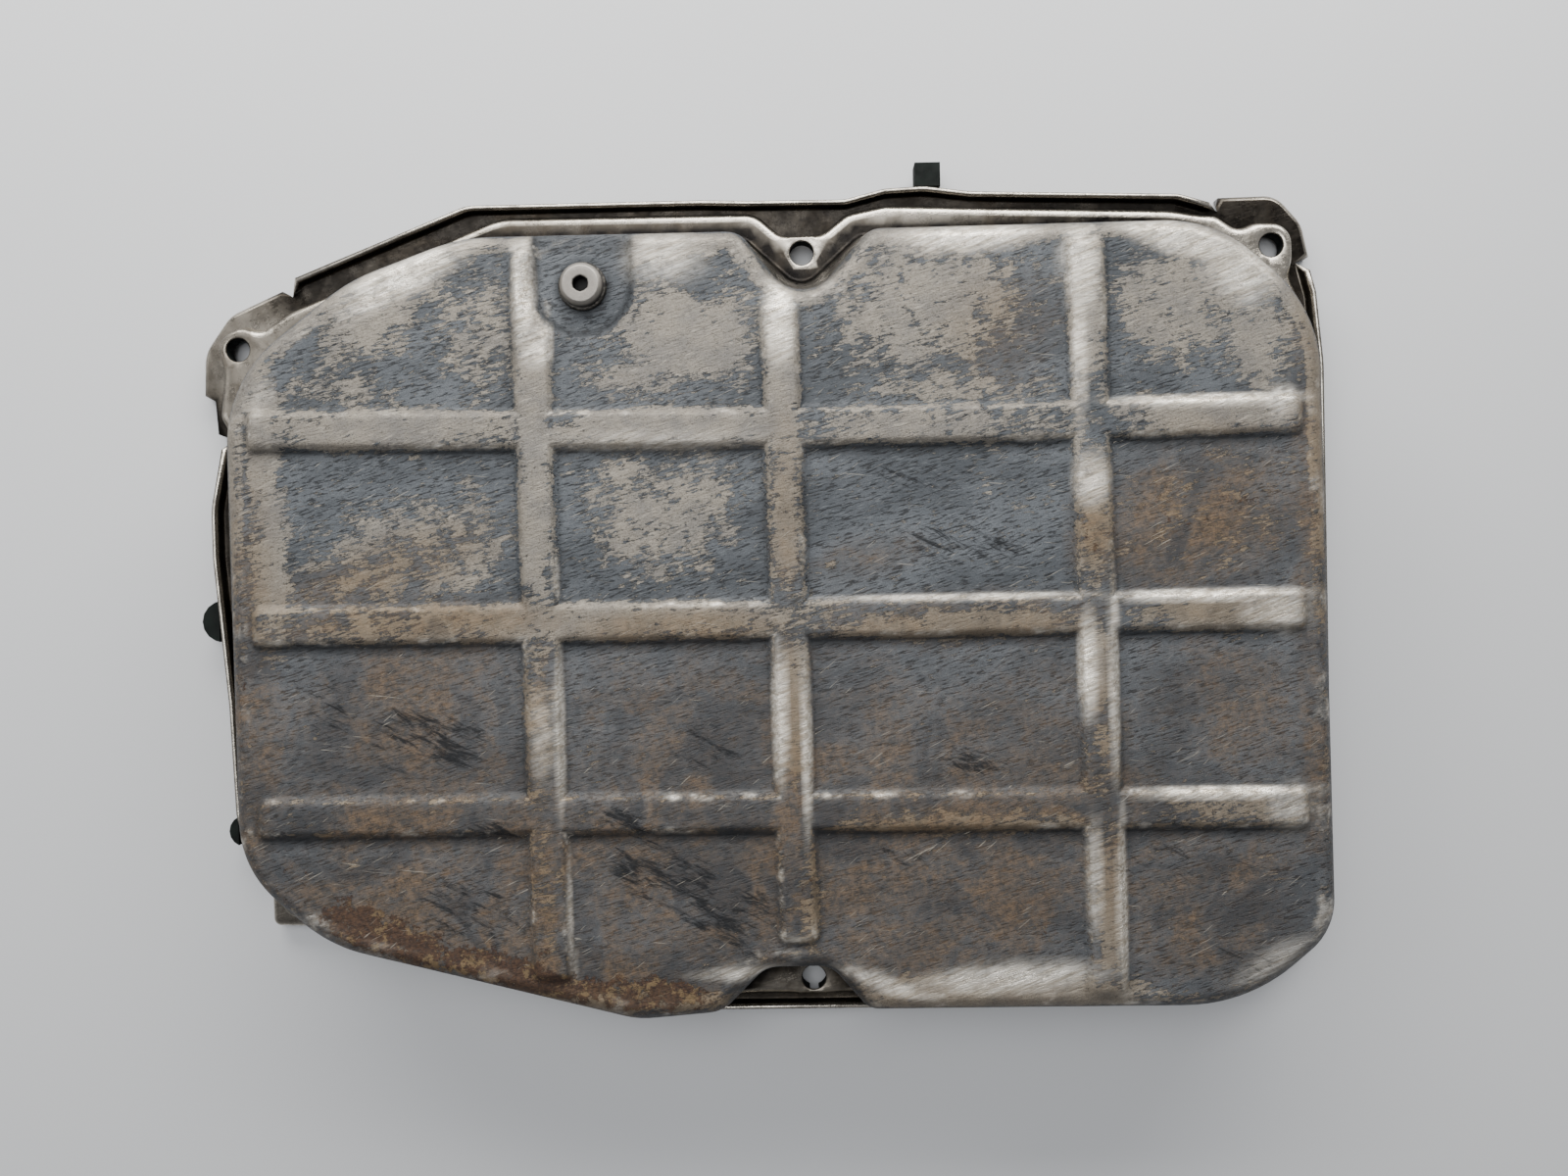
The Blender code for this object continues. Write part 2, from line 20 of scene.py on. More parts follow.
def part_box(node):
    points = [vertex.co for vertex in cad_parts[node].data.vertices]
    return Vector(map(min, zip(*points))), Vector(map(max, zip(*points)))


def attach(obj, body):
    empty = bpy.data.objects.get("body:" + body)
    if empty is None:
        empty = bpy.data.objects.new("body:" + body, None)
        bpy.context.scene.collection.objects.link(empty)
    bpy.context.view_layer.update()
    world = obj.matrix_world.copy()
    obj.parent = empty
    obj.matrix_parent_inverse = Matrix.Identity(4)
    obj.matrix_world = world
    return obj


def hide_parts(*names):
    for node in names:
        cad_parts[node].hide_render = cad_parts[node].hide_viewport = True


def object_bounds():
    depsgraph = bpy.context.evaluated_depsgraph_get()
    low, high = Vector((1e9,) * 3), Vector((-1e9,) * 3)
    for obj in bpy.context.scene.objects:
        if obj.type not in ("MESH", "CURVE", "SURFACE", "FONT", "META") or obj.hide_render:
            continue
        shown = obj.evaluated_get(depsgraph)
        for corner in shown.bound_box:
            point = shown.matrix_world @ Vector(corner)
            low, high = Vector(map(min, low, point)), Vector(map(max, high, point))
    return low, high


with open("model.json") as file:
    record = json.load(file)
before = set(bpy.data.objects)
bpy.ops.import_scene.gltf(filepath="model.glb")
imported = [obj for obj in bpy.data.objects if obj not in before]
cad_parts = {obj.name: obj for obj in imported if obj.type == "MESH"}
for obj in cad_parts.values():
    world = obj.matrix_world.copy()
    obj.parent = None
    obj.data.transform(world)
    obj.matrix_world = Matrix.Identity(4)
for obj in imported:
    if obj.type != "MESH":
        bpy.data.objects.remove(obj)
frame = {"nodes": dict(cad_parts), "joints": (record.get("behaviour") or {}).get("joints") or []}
CAD_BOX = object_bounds()

# Heights of the sheet's outer face, and sizes across its section, mm.
VALLEY = 7.0
LAND = 10.8
LIP_TOP = 13.4
PANEL = 51.5
SHEET = 1.2
RIB_HEIGHT = 2.2
RIB_HALF = 6.9
SHOULDER = 6.0
FILLET = 2.2
EDGE_RUN = 2.0
BOLT_HOLE_RADIUS = 4.2
PLUG_HOLE_RADIUS = 5.35
PLUG_X, PLUG_Y = -60.8, 109.6
POCKET_DEPTH = 2.5
POCKET_RADIUS = 14.7
POCKET_RIM = 18.8
BRIM = 0.45
SAG = 0.25
GAP = 0.3

# Spacing of the mesh, mm.
LOOP_STEP = 3.0
CLOSEST_LINES = 0.28
CLEAR_OF_EDGE = 0.9
CLEAR_OF_HOLE = 0.7

# The drawing's origin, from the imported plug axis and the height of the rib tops.
AXIS = next(joint["pos_m"] for joint in frame["joints"] if joint["name"] == "plug_turn")
RIB_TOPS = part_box("pan_shell")[1][2]
ORIGIN = Vector((PLUG_X - 1000 * AXIS[0], PLUG_Y - 1000 * AXIS[1], PANEL + RIB_HEIGHT - 1000 * RIB_TOPS))

# Outlines, counter-clockwise: x, y and the radius of the corner.
POCKET_OFFSETS = (18.6, 17.4, 16.6, 15.8, 15.2, 14.6, 13.6)
POCKET_SIDES = [PLUG_X + d for d in POCKET_OFFSETS] + [PLUG_X - d for d in reversed(POCKET_OFFSETS)]
WALL_TOP = [
    (177.9, 97.5, 45), (144.3, 127.9, 42), (32.8, 127.3, 8), (9.9, 100.3, 12.3), (-9.6, 127.3, 9),
    *[(x, 127.3, 0) for x in POCKET_SIDES], (-101.4, 127.3, 60), (-138.4, 113.9, 60), (-180, 81.7, 45),
    (-177.5, -79.1, 35), (-148.2, -104.6, 50), (-47, -129.8, 30), (-19.5, -127.6, 12), (-5, -113.2, 10),
    (16, -113, 9), (28.3, -127.2, 7), (150.7, -127.2, 55), (179.5, -103.1, 22),
]
WALL_FOOT = [
    (180.9, 100.5, 42), (147, 134, 42), (31, 134, 7), (10.2, 115.2, 8), (-10.1, 134, 7),
    *[(x, 134, 0) for x in POCKET_SIDES], (-104, 134, 60), (-142.5, 120, 60), (-185.5, 85.5, 45),
    (-179.3, -79.8, 36), (-149, -105.2, 50), (-47.2, -130.4, 30), (-17, -128.6, 9), (-3.5, -118.5, 7),
    (19.6, -118.3, 6), (27.8, -127.8, 6), (149.5, -127.8, 55), (180.6, -102.6, 22),
]
CREST = [
    (187.4, -100, 8), (187.6, 84, 40), (186.2, 108, 12), (182.2, 116.5, 6), (183.4, 124, 6),
    (183.3, 136, 7), (170.5, 136.2, 6), (164.5, 133.8, 6), (157, 139, 6), (140, 141.6, 20), (70, 144.2, 40),
    (40, 145.4, 20), (27, 142.8, 9), (17.8, 135.3, 9), (3.2, 135.1, 9), (-6.3, 143.6, 9), (-97, 144, 25),
    (-173, 112, 8), (-183.5, 105.2, 6), (-190.5, 107.2, 5), (-200, 103, 7), (-197, 91.5, 8),
    (-198.5, 75, 5), (-192.2, 63.5, 5), (-197, 42, 30), (-196.7, 24, 30), (-191.8, -28, 60),
    (-189.6, -68, 8), (-181.5, -86, 8), (-178.8, -104.2, 6), (-165.5, -104.6, 6), (-152, -109.8, 10),
    (-49, -135.2, 25), (-22, -133.5, 20), (147, -133, 10), (173.6, -125.4, 6), (182, -117.4, 6),
    (184.4, -110, 6),
]
LIP, RIM, CUT = 1, -1, 0
EDGE = [
    (192.2, -95.5, 0, LIP), (192.4, 86, 60, LIP), (190.2, 111, 10, LIP), (188.2, 118.5, 0, LIP),
    (187.4, 122, 0, CUT), (191, 125.2, 0, RIM), (188.6, 137, 12, RIM), (179.5, 147.4, 10, RIM),
    (159.3, 147, 0, RIM), (157.3, 143.2, 0, CUT), (153.5, 143, 0, LIP), (143, 146.2, 12, LIP),
    (94, 147.9, 80, LIP), (70, 148.8, 30, LIP), (54, 151, 30, LIP), (40, 150.4, 15, LIP),
    (26, 146.9, 12, LIP), (-8, 147.2, 20, LIP), (-25, 147.8, 40, LIP), (-108, 147.8, 15, LIP),
    (-169.5, 123.6, 0, LIP), (-173.5, 120.4, 0, CUT), (-177.4, 121, 0, RIM), (-196.5, 112.5, 12, RIM),
    (-206, 99, 14, RIM), (-206.3, 83.5, 0, RIM), (-203.6, 80.5, 0, CUT), (-202.6, 68, 0, CUT),
    (-197.6, 66, 0, CUT), (-196.9, 63, 0, LIP), (-200.9, 42, 30, LIP), (-200.6, 24, 30, LIP),
    (-195.7, -28, 60, LIP), (-193.8, -67, 20, LIP), (-190.4, -80.5, 0, LIP), (-189.2, -83.5, 0, CUT),
    (-187.8, -86.5, 0, RIM), (-184.8, -93, 8, RIM), (-184.4, -108.4, 3, RIM), (-171, -108.8, 3, RIM),
    (-158, -114.2, 6, RIM), (-154, -113.4, 0, CUT), (-150.5, -114.5, 0, LIP), (-47, -139.6, 25, LIP),
    (-22, -137.8, 20, LIP), (145, -137.6, 0, LIP), (149, -136.6, 0, CUT), (152, -137.4, 0, RIM),
    (165, -134.2, 12, RIM), (177, -127.6, 12, RIM), (188.8, -116.4, 12, RIM), (192, -101.5, 0, RIM),
    (191.3, -98.5, 0, CUT),
]
# Bolt holes nearer the middle than NOTCH_SIDE are in the notches, and the others in the ears.
NOTCH_SIDE = 50
BOLT_HOLES = [
    (-191.6, 99.0), (10.5, 129.1), (175.9, 128.3),
    (-171.0, -97.6), (10.5, -127.6), (172.4, -119.0),
]
# The ribs along X: x1, y1, x2, y2 of the centre line, and how far its middle bows in Y.
LONG_RIBS = [
    (-171.0, 64.65, 170.4, 63.85, -1.7),
    (-170.6, 0.8, 170.4, 1.3, -0.5),
    (-169.6, -61.6, 170.4, -62.4, 0.3),
]
# The ribs along Y: y1, x1, y2, x2 of the centre line.
CROSS_RIBS = [(-115.6, -73.9, 121.2, -77.9), (-104.4, 6.0, 103.6, 2.9), (-122.4, 105.0, 122.4, 101.4)]


def place(x, y, z):
    """A point of the drawing, mm, in the frame, m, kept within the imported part's box."""
    spot = (Vector((x, y, z)) - ORIGIN) / 1000
    return Vector(min(max(spot[i], CAD_BOX[0][i]), CAD_BOX[1][i]) for i in range(3))


def smooth(value, low, high):
    """0 below low and 1 above high, with a smooth step between."""
    t = np.clip((value - low) / (high - low), 0.0, 1.0)
    return t * t * (3 - 2 * t)


def bump_at(value, centre, width):
    """A smooth bump of height 1 at centre."""
    return np.exp(-(((value - centre) / width) ** 2))


def outline(corners, arc_points):
    """The points of a closed outline with its corners rounded, arc_points to each round corner."""
    points = []
    for i, (x, y, radius, *_) in enumerate(corners):
        here = Vector((x, y))
        if radius == 0:
            points.append(here)
            continue
        back = (Vector(corners[i - 1][:2]) - here).normalized()
        ahead = (Vector(corners[(i + 1) % len(corners)][:2]) - here).normalized()
        half = back.angle(ahead) / 2
        centre = here + (back + ahead).normalized() * (radius / sin(half))
        start = here + back * (radius / tan(half)) - centre
        sweep = start.angle_signed(here + ahead * (radius / tan(half)) - centre)
        for k in range(arc_points):
            turn = Matrix.Rotation(-sweep * k / (arc_points - 1), 2)
            points.append(centre + turn @ start)
    return points


def densify(loops, step):
    """Matching loops with points added, so that no side of the first exceeds step."""
    added = [[] for _ in loops]
    count = len(loops[0])
    for i in range(count):
        length = (loops[0][(i + 1) % count] - loops[0][i]).length
        parts = max(1, ceil(length / step))
        for loop, out in zip(loops, added, strict=True):
            for k in range(parts):
                out.append(loop[i].lerp(loop[(i + 1) % count], k / parts))
    return added


def offset(points, distance):
    """The closed outline moved outwards by distance, one number or one for each point."""
    moved = []
    for i, here in enumerate(points):
        back = (here - points[i - 1]).normalized()
        ahead = (points[(i + 1) % len(points)] - here).normalized()
        across = Vector(((back + ahead).y, -(back + ahead).x)).normalized()
        stretch = max(across.dot(Vector((ahead.y, -ahead.x))), 0.5)
        amount = distance[i] if isinstance(distance, list) else distance
        moved.append(here + across * (amount / stretch))
    return moved


def circle(x, y, radius, count):
    angles = (2 * pi * k / count for k in range(count))
    return [Vector((x + radius * cos(a), y + radius * sin(a))) for a in angles]


def inside(outline_points, x, y):
    """Which points, from arrays x and y, are inside a closed outline."""
    found = np.zeros(len(x), bool)
    for i, b in enumerate(outline_points):
        a = outline_points[i - 1]
        if a.y == b.y:
            continue
        crosses = (a.y > y) != (b.y > y)
        found ^= crosses & (x < a.x + (y - a.y) / (b.y - a.y) * (b.x - a.x))
    return found


def distance_to(outline_points, x, y):
    """The distance of each point, from arrays x and y, to a closed outline."""
    nearest = np.full(len(x), 1e9)
    for i, b in enumerate(outline_points):
        a = outline_points[i - 1]
        dx, dy = b.x - a.x, b.y - a.y
        t = np.clip(((x - a.x) * dx + (y - a.y) * dy) / max(dx * dx + dy * dy, 1e-9), 0, 1)
        nearest = np.minimum(nearest, np.hypot(x - a.x - t * dx, y - a.y - t * dy))
    return nearest


def long_centre(rib, x):
    """The Y of a long rib's centre line at x."""
    x1, y1, x2, y2, bow = rib
    t = (x - x1) / (x2 - x1)
    return y1 + (y2 - y1) * t + bow * 4 * t * (1 - t)


def cross_centre(rib, y):
    """The X of a cross rib's centre line at y."""
    y1, x1, y2, x2 = rib
    return x1 + (x2 - x1) * (y - y1) / (y2 - y1)


def tilt(rib):
    """How much a rib's centre line turns off its axis."""
    return (rib[3] - rib[1]) / (rib[2] - rib[0])


def rib_depth(x, y):
    """How far inside the nearest rib's foot each point is, mm; negative outside."""
    deepest = np.full(np.shape(x), -99.0)
    spans = [(x - rib[0], rib[2] - x, RIB_HALF - np.abs(y - long_centre(rib, x))) for rib in LONG_RIBS]
    spans += [(y - rib[0], rib[2] - y, RIB_HALF - np.abs(x - cross_centre(rib, y))) for rib in CROSS_RIBS]
    corner = 3.5
    for before, after, across in spans:
        end = np.minimum(before, after)
        rounded = corner - np.hypot(np.minimum(end - corner, 0), np.minimum(across - corner, 0))
        depth = np.where((end < corner) & (across < corner), rounded, np.minimum(end, across))
        deepest = np.maximum(deepest, depth)
    return deepest


def pocket_distance(x, y):
    """The distance of each point from the spine of the plug's recess."""
    return np.hypot(x - PLUG_X, np.minimum(y - PLUG_Y, 0.0))


def sink(x, y, z):
    """The heights z of points, with the recess pressed in and its edges rounded."""
    out = pocket_distance(x, y)
    rise = 1.35 * POCKET_DEPTH * smooth(out, POCKET_RADIUS - 1.2, POCKET_RIM)
    ceiling = PANEL - POCKET_DEPTH + rise + np.maximum(0, out - POCKET_RIM)
    blend = 0.5
    return -blend * np.logaddexp(-z / blend, -ceiling / blend)


def waviness(x, y):
    """The slight unevenness of a pressed panel, mm."""
    large = noise.noise(Vector((x / 55, y / 55, 3.1)))
    small = noise.noise(Vector((x / 19, y / 19, 7.7)))
    return 0.22 * large + 0.07 * small


# The kinds of region that a point of the sheet can be in.
ON_PANEL, ON_SHOULDER, ON_WALL, ON_LAND, ON_CREST, ON_VALLEY, ON_EDGE = range(7)


class Sheet:
    """The outer face of the pressing, made loop by loop, with a kind for each point."""

    def __init__(self):
        self.mesh = bmesh.new()
        self.kind = self.mesh.verts.layers.int.new("kind")

    def vert(self, x, y, z, kind):
        made = self.mesh.verts.new(place(x, y, z))
        made[self.kind] = kind
        return made

    def loop(self, points, height, kind):
        heights = np.broadcast_to(height, len(points))
        return [self.vert(p.x, p.y, z, kind) for p, z in zip(points, heights, strict=True)]

    def bridge(self, inner, outer):
        """Quads between two loops that match point by point."""
        for i in range(len(inner)):
            corners = list(dict.fromkeys([inner[i - 1], outer[i - 1], outer[i], inner[i]]))
            if len(corners) > 2 and self.mesh.faces.get(corners) is None:
                self.mesh.faces.new(corners)

    def skin(self, loops):
        """Loops, each (points, height, kind), with every one joined to the next."""
        made = [self.loop(*loop) for loop in loops]
        for inner, outer in pairwise(made):
            self.bridge(inner, outer)
        return made

    def fill(self, outer, holes, loose, height_of, kind):
        """Triangles between an outer loop and holes, each (points, verts), through loose points."""
        spots, verts, edges = [], [], []
        for points, made in [outer, *holes]:
            first = len(spots)
            spots.extend(points)
            verts.extend(made)
            edges.extend((first + i, first + (i + 1) % len(points)) for i in range(len(points)))
        if len(loose):
            x, y = loose[:, 0], loose[:, 1]
            keep = inside(outer[0], x, y) & (distance_to(outer[0], x, y) > CLEAR_OF_EDGE)
            for points, _ in holes:
                keep &= ~inside(points, x, y) & (distance_to(points, x, y) > CLEAR_OF_HOLE)
            loose = loose[keep]
            heights = height_of(loose[:, 0], loose[:, 1])
            spots.extend(Vector(p) for p in loose)
            verts.extend(self.vert(p[0], p[1], z, kind) for p, z in zip(loose, heights, strict=True))
        found = delaunay_2d_cdt(spots, edges, [], 0, 1e-6)
        centres = np.array([sum((found[0][k] for k in f), Vector((0, 0))) / len(f) for f in found[2]])
        keep = inside(outer[0], centres[:, 0], centres[:, 1])
        for points, _ in holes:
            keep &= ~inside(points, centres[:, 0], centres[:, 1])
        for face, kept in zip(found[2], keep, strict=True):
            corners = [verts[found[3][k][0]] for k in face]
            if kept and len(set(corners)) == 3 and self.mesh.faces.get(corners) is None:
                self.mesh.faces.new(corners)


def spread(lines, low, high, step):
    """Sorted grid lines from low to high: the given ones, and more where a gap is over step."""
    given = sorted(v for v in {round(v, 2) for v in lines} if low < v < high)
    kept = [low]
    for value in [*given, high]:
        if value - kept[-1] < CLOSEST_LINES:
            continue
        start = kept[-1]
        parts = ceil((value - start) / step)
        kept.extend(start + (value - start) * (k + 1) / parts for k in range(parts))
    return np.array(kept)


def panel_grid():
    """Points over the panel, on grid lines that follow the ribs and crowd at their flanks."""
    near = (7.9, 7.2, 6.7, 6.2, 5.7, 5.2, 4.6, 3.8, 2.0)
    flanks = [*near, 0, *(-d for d in near)]
    ends = [k * 0.7 for k in range(9)]
    cross = [cross_centre(rib, 0) for rib in CROSS_RIBS]
    rows = LONG_RIBS[::-1]
    long = [long_centre(rib, 0) for rib in rows]
    x_lines = [c + d for c in cross for d in flanks]
    x_lines += [-172.0 + d for d in ends] + [171.4 - d for d in ends]
    x_lines += [PLUG_X + k * 1.25 for k in range(-16, 17)]
    y_lines = [c + d for c in long for d in flanks]
    y_lines += [88.5 + k * 1.25 for k in range(27)]
    y_lines += [-117.0 + d for d in ends] + [-105.6 + d for d in ends]
    s = spread(x_lines, -176.0, 176.0, 3.0)[:, None]
    t = spread(y_lines, -124.0, 124.0, 3.0)[None, :]
    lean = np.interp(s, [-165, *cross, 165], [0, *(tilt(rib) for rib in CROSS_RIBS), 0])
    slope = np.interp(t, long, [tilt(rib) for rib in rows])
    sag = np.interp(t, [-124, *long, 124], [0, *(rib[4] for rib in rows), 0])
    x, y = s + 0 * t, t + 0 * s
    for _ in range(3):
        y = t + slope * x - sag * (x / 170.5) ** 2
        x = s + lean * y
    return np.stack([x.ravel(), y.ravel()], 1)


def sprinkle(low, high, step):
    """Loose points on a triangular grid, to let a flat region carry a little unevenness."""
    rows = np.arange(low[1], high[1], step * 0.87)
    points = [
        (x + (i % 2) * step / 2, y)
        for i, y in enumerate(rows)
        for x in np.arange(low[0], high[0], step)
    ]
    return np.array(points)


def make_sheet():
    """The pressing's outer face as one mesh."""
    sheet = Sheet()
    top, foot = densify([outline(WALL_TOP, 12), outline(WALL_FOOT, 12)], LOOP_STEP)

    # The shoulder, down to the wall.
    loops = []
    steps = 9
    for k in range(steps + 1):
        angle = pi / 2 * k / steps
        points = offset(top, SHOULDER * (sin(angle) - 1))
        xy = np.array(points)
        rise = RIB_HEIGHT * smooth(rib_depth(xy[:, 0], xy[:, 1]), -0.9, 3.2) * cos(angle)
        level = PANEL - SHOULDER * (1 - cos(angle)) + rise
        loops.append((points, sink(xy[:, 0], xy[:, 1], level), ON_SHOULDER))
    # The wall.
    rows = 9
    low, high = LAND + FILLET, PANEL - SHOULDER
    for k in range(1, rows):
        points = [a.lerp(b, k / rows) for a, b in zip(top, foot, strict=True)]
        loops.append((points, high + (low - high) * k / rows, ON_WALL))
    # The fillet at its foot.
    for k in range(5):
        angle = pi / 2 * k / 4
        points = offset(foot, FILLET * (1 - cos(angle)))
        loops.append((points, LAND + FILLET * (1 - sin(angle)), ON_WALL if k < 3 else ON_LAND))
    made = sheet.skin(loops)

    # The panel, with the plug's hole.
    hole = circle(PLUG_X, PLUG_Y, PLUG_HOLE_RADIUS, 48)
    hole_verts = sheet.loop(hole, PANEL - POCKET_DEPTH, ON_PANEL)

    def height(x, y):
        uneven = np.array([waviness(a, b) for a, b in zip(x, y, strict=True)])
        fade = smooth(distance_to(loops[0][0], x, y), 0, 14) * smooth(pocket_distance(x, y), 15, 26)
        return sink(x, y, PANEL + RIB_HEIGHT * smooth(rib_depth(x, y), -0.9, 2.9) - SAG + fade * uneven)

    for vert, point in zip(made[0], loops[0][0], strict=True):
        vert.co.z = place(0, 0, float(height(np.array([point.x]), np.array([point.y]))[0])).z
    sheet.fill((loops[0][0], made[0]), [(hole, hole_verts)], panel_grid(), height, ON_PANEL)

    # The crest, from the land down to the valley.
    crest = densify([outline(CREST, 8)], LOOP_STEP)[0]
    xy = np.array(crest)
    room = distance_to(loops[-1][0], xy[:, 0], xy[:, 1])
    for x, y in BOLT_HOLES:
        room = np.minimum(room, np.hypot(xy[:, 0] - x, xy[:, 1] - y) - BOLT_HOLE_RADIUS - BRIM)
    room = np.minimum(room, np.minimum(np.roll(room, 1), np.roll(room, -1)))
    even = sum(np.roll(np.clip(0.2 * room, 0, 1), k) for k in range(-2, 3)) / 5
    inset = [float(k) for k in np.minimum(even, 0.2 * room)]
    profile = [(-3.2, 0), (-2.3, -0.07), (-1.4, -0.22), (-0.7, -0.55), (-0.2, -1.1), (0.2, -1.9)]
    profile += [(0.45, -2.8), (0.65, -3.5), (0.8, -3.8)]
    crest_loops = [offset(crest, [out if out > 0 else out * k for k in inset]) for out, _ in profile]
    heights = [LAND + drop for _, drop in profile]
    kinds = [ON_LAND, *[ON_CREST] * 6, ON_VALLEY, ON_VALLEY]
    crest_verts = sheet.skin(zip(crest_loops, heights, kinds, strict=True))

    # The land, with its bolt holes.
    holes = [(loops[-1][0], made[-1])]
    for x, y in BOLT_HOLES:
        brim = circle(x, y, BOLT_HOLE_RADIUS + BRIM, 40)
        brim_verts = sheet.loop(brim, LAND, ON_CREST)
        edge_verts = sheet.loop(circle(x, y, BOLT_HOLE_RADIUS, 40), LAND - 0.3, ON_CREST)
        sheet.bridge(edge_verts, brim_verts)
        holes.append((brim, brim_verts))

    def land(x, y):
        uneven = [noise.noise(Vector((a / 14, b / 14, 1.3))) for a, b in zip(x, y, strict=True)]
        return LAND + 0.12 * np.array(uneven)

    loose = sprinkle((-205, -140), (192, 150), 3.4)
    sheet.fill((crest_loops[0], crest_verts[0]), holes, loose, land, ON_LAND)

    # The turned edge: a lip up between the bolts, a rim down at the bolt ears.
    edge = outline(EDGE, 8)
    turns = [turn for x, y, radius, turn in EDGE for _ in range(8 if radius else 1)]
    root = offset(edge, -EDGE_RUN)
    strips = [sheet.loop(root, VALLEY, ON_VALLEY)]
    lip = [(-1.7, 0.06), (-1.42, 0.3), (-1.25, 0.75), (-SHEET, 1.4), (-SHEET, 3.5)]
    lip += [(-SHEET, LIP_TOP - VALLEY)]
    rim = [(-1.85, -0.04), (-1.25, -0.24), (-0.75, -0.65), (-0.35, -1.25), (-0.08, -2.2), (0.0, -VALLEY)]
    for up, down in zip(lip, rim, strict=True):
        points = offset(edge, [(-EDGE_RUN, up[0], down[0])[turn] for turn in turns])
        strip = sheet.loop(points, [VALLEY + (0.0, up[1], down[1])[turn] for turn in turns], ON_EDGE)
        for i, turn in enumerate(turns):
            if turn == CUT:
                sheet.mesh.verts.remove(strip[i])
                strip[i] = strips[0][i]
        sheet.bridge(strips[-1], strip)
        strips.append(strip)
    sheet.fill((root, strips[0]), [(crest_loops[-1], crest_verts[-1])], [], None, ON_VALLEY)

    bmesh.ops.remove_doubles(sheet.mesh, verts=sheet.mesh.verts, dist=2.5e-5)
    bmesh.ops.dissolve_degenerate(sheet.mesh, edges=sheet.mesh.edges, dist=1e-5)
    bmesh.ops.recalc_face_normals(sheet.mesh, faces=sheet.mesh.faces)
    highest = max(sheet.mesh.faces, key=lambda face: face.calc_center_median().z)
    if highest.normal.z < 0:
        bmesh.ops.reverse_faces(sheet.mesh, faces=sheet.mesh.faces)
    mesh = bpy.data.meshes.new("pan_shell_skin")
    sheet.mesh.to_mesh(mesh)
    sheet.mesh.free()
    return mesh


def patches(x, y, spots):
    """The strongest of several soft oval patches, at each point."""
    total = np.zeros(len(x))
    for cx, cy, wide, tall, per_cent, *turn in spots:
        angle = radians(sum(turn))
        c, s = cos(angle), sin(angle)
        u = ((x - cx) * c + (y - cy) * s) / wide
        v = ((y - cy) * c - (x - cx) * s) / tall
        total = np.maximum(total, per_cent / 100 * (1 - smooth(np.hypot(u, v), 0.2, 1.3)))
    return total


# Soft patches on the panel: x, y, half width, half height, per cent, and for some a turn in degrees.
BARE = [
    (-122, 64, 60, 9, 93), (-30, 63, 56, 9, 93), (45, 62, 50, 8, 74), (86, 63, 22, 8, 50),
    (140, 64, 36, 8, 90), (-77, 62, 7, 68, 95), (-77, 30, 7, 34, 90), (3.5, 80, 7, 42, 100),
    (4, 34, 6, 32, 92), (102, 100, 8, 34, 85), (103, 30, 7, 34, 70), (-166, 60, 8, 34, 95),
    (-164, 22, 10, 40, 80), (-126, 102, 36, 18, 66, 34), (-96, 96, 24, 28, 60, 20), (-140, 78, 30, 7, 60),
    (-26, 94, 30, 24, 90), (-45, 80, 24, 10, 70), (-38, 122, 34, 7, 85), (20, 112, 12, 14, 60),
    (52, 102, 48, 28, 74, 10), (60, 74, 44, 7, 62), (132, 100, 28, 26, 72), (156, 86, 18, 20, 70),
    (60, 124, 70, 6, 85), (142, 118, 30, 10, 80, -20), (-122, 28, 48, 24, 56, 25),
    (-100, 22, 28, 14, 58, 30), (-34, 34, 36, 24, 70, 25), (-50, 46, 20, 12, 58, 20), (-60, 1, 112, 8, 80),
    (-120, 0, 50, 7, 60), (60, -2, 56, 7, 80), (142, 0, 34, 8, 88), (-77, -30, 7, 34, 60),
    (5, -28, 6, 34, 86), (103, -16, 7, 18, 85), (104, -44, 6, 20, 40), (106, -92, 6, 32, 80),
    (144, -62, 32, 8, 60), (60, -66, 54, 6, 60), (10, -92, 6, 28, 50), (70, -121, 60, 8, 95),
    (-60, -122, 60, 6, 70), (-75, -85, 6, 34, 45), (42, 22, 50, 8, 26, 12), (140, 30, 30, 22, 30),
]
DARK = [
    (36, 40, 30, 15, 95), (50, 22, 46, 20, 60), (-128, 46, 30, 9, 90), (-90, 50, 12, 8, 80),
    (-6, 34, 6, 24, 80), (-108, 92, 12, 8, 60), (-22, 110, 8, 9, 80, 30), (82, 96, 12, 24, 35),
    (-110, -96, 26, 18, 50), (-28, -92, 34, 24, 90), (52, -42, 46, 16, 50),
]
BROWN = [
    (0, -70, 200, 66, 85), (-77, -44, 7, 36, 100), (-120, -64, 60, 10, 100), (-70, -112, 90, 16, 100, -12),
    (138, 30, 38, 30, 100), (-120, -30, 60, 34, 85, 10), (140, -30, 36, 30, 70), (102, 28, 8, 20, 90),
    (-76, -85, 8, 44, 100), (-120, -62, 55, 9, 85), (5, -85, 8, 34, 90), (60, -62, 90, 9, 80),
    (-172, -40, 12, 90, 90), (-120, -92, 54, 28, 100, -14), (60, -2, 60, 9, 60), (-120, 2, 56, 9, 85),
    (-30, -2, 40, 8, 70), (60, -95, 60, 32, 85), (140, -95, 40, 32, 85), (-30, -34, 40, 28, 60),
    (172, 0, 8, 110, 80), (-130, 16, 44, 12, 60, 20), (75, 92, 24, 20, 35, 30), (30, 20, 20, 8, 60, 10),
    (4, 34, 7, 34, 50), (4, -34, 7, 40, 60), (103, -60, 8, 64, 70), (142, 2, 36, 7, 60), (60, 2, 60, 8, 50),
]
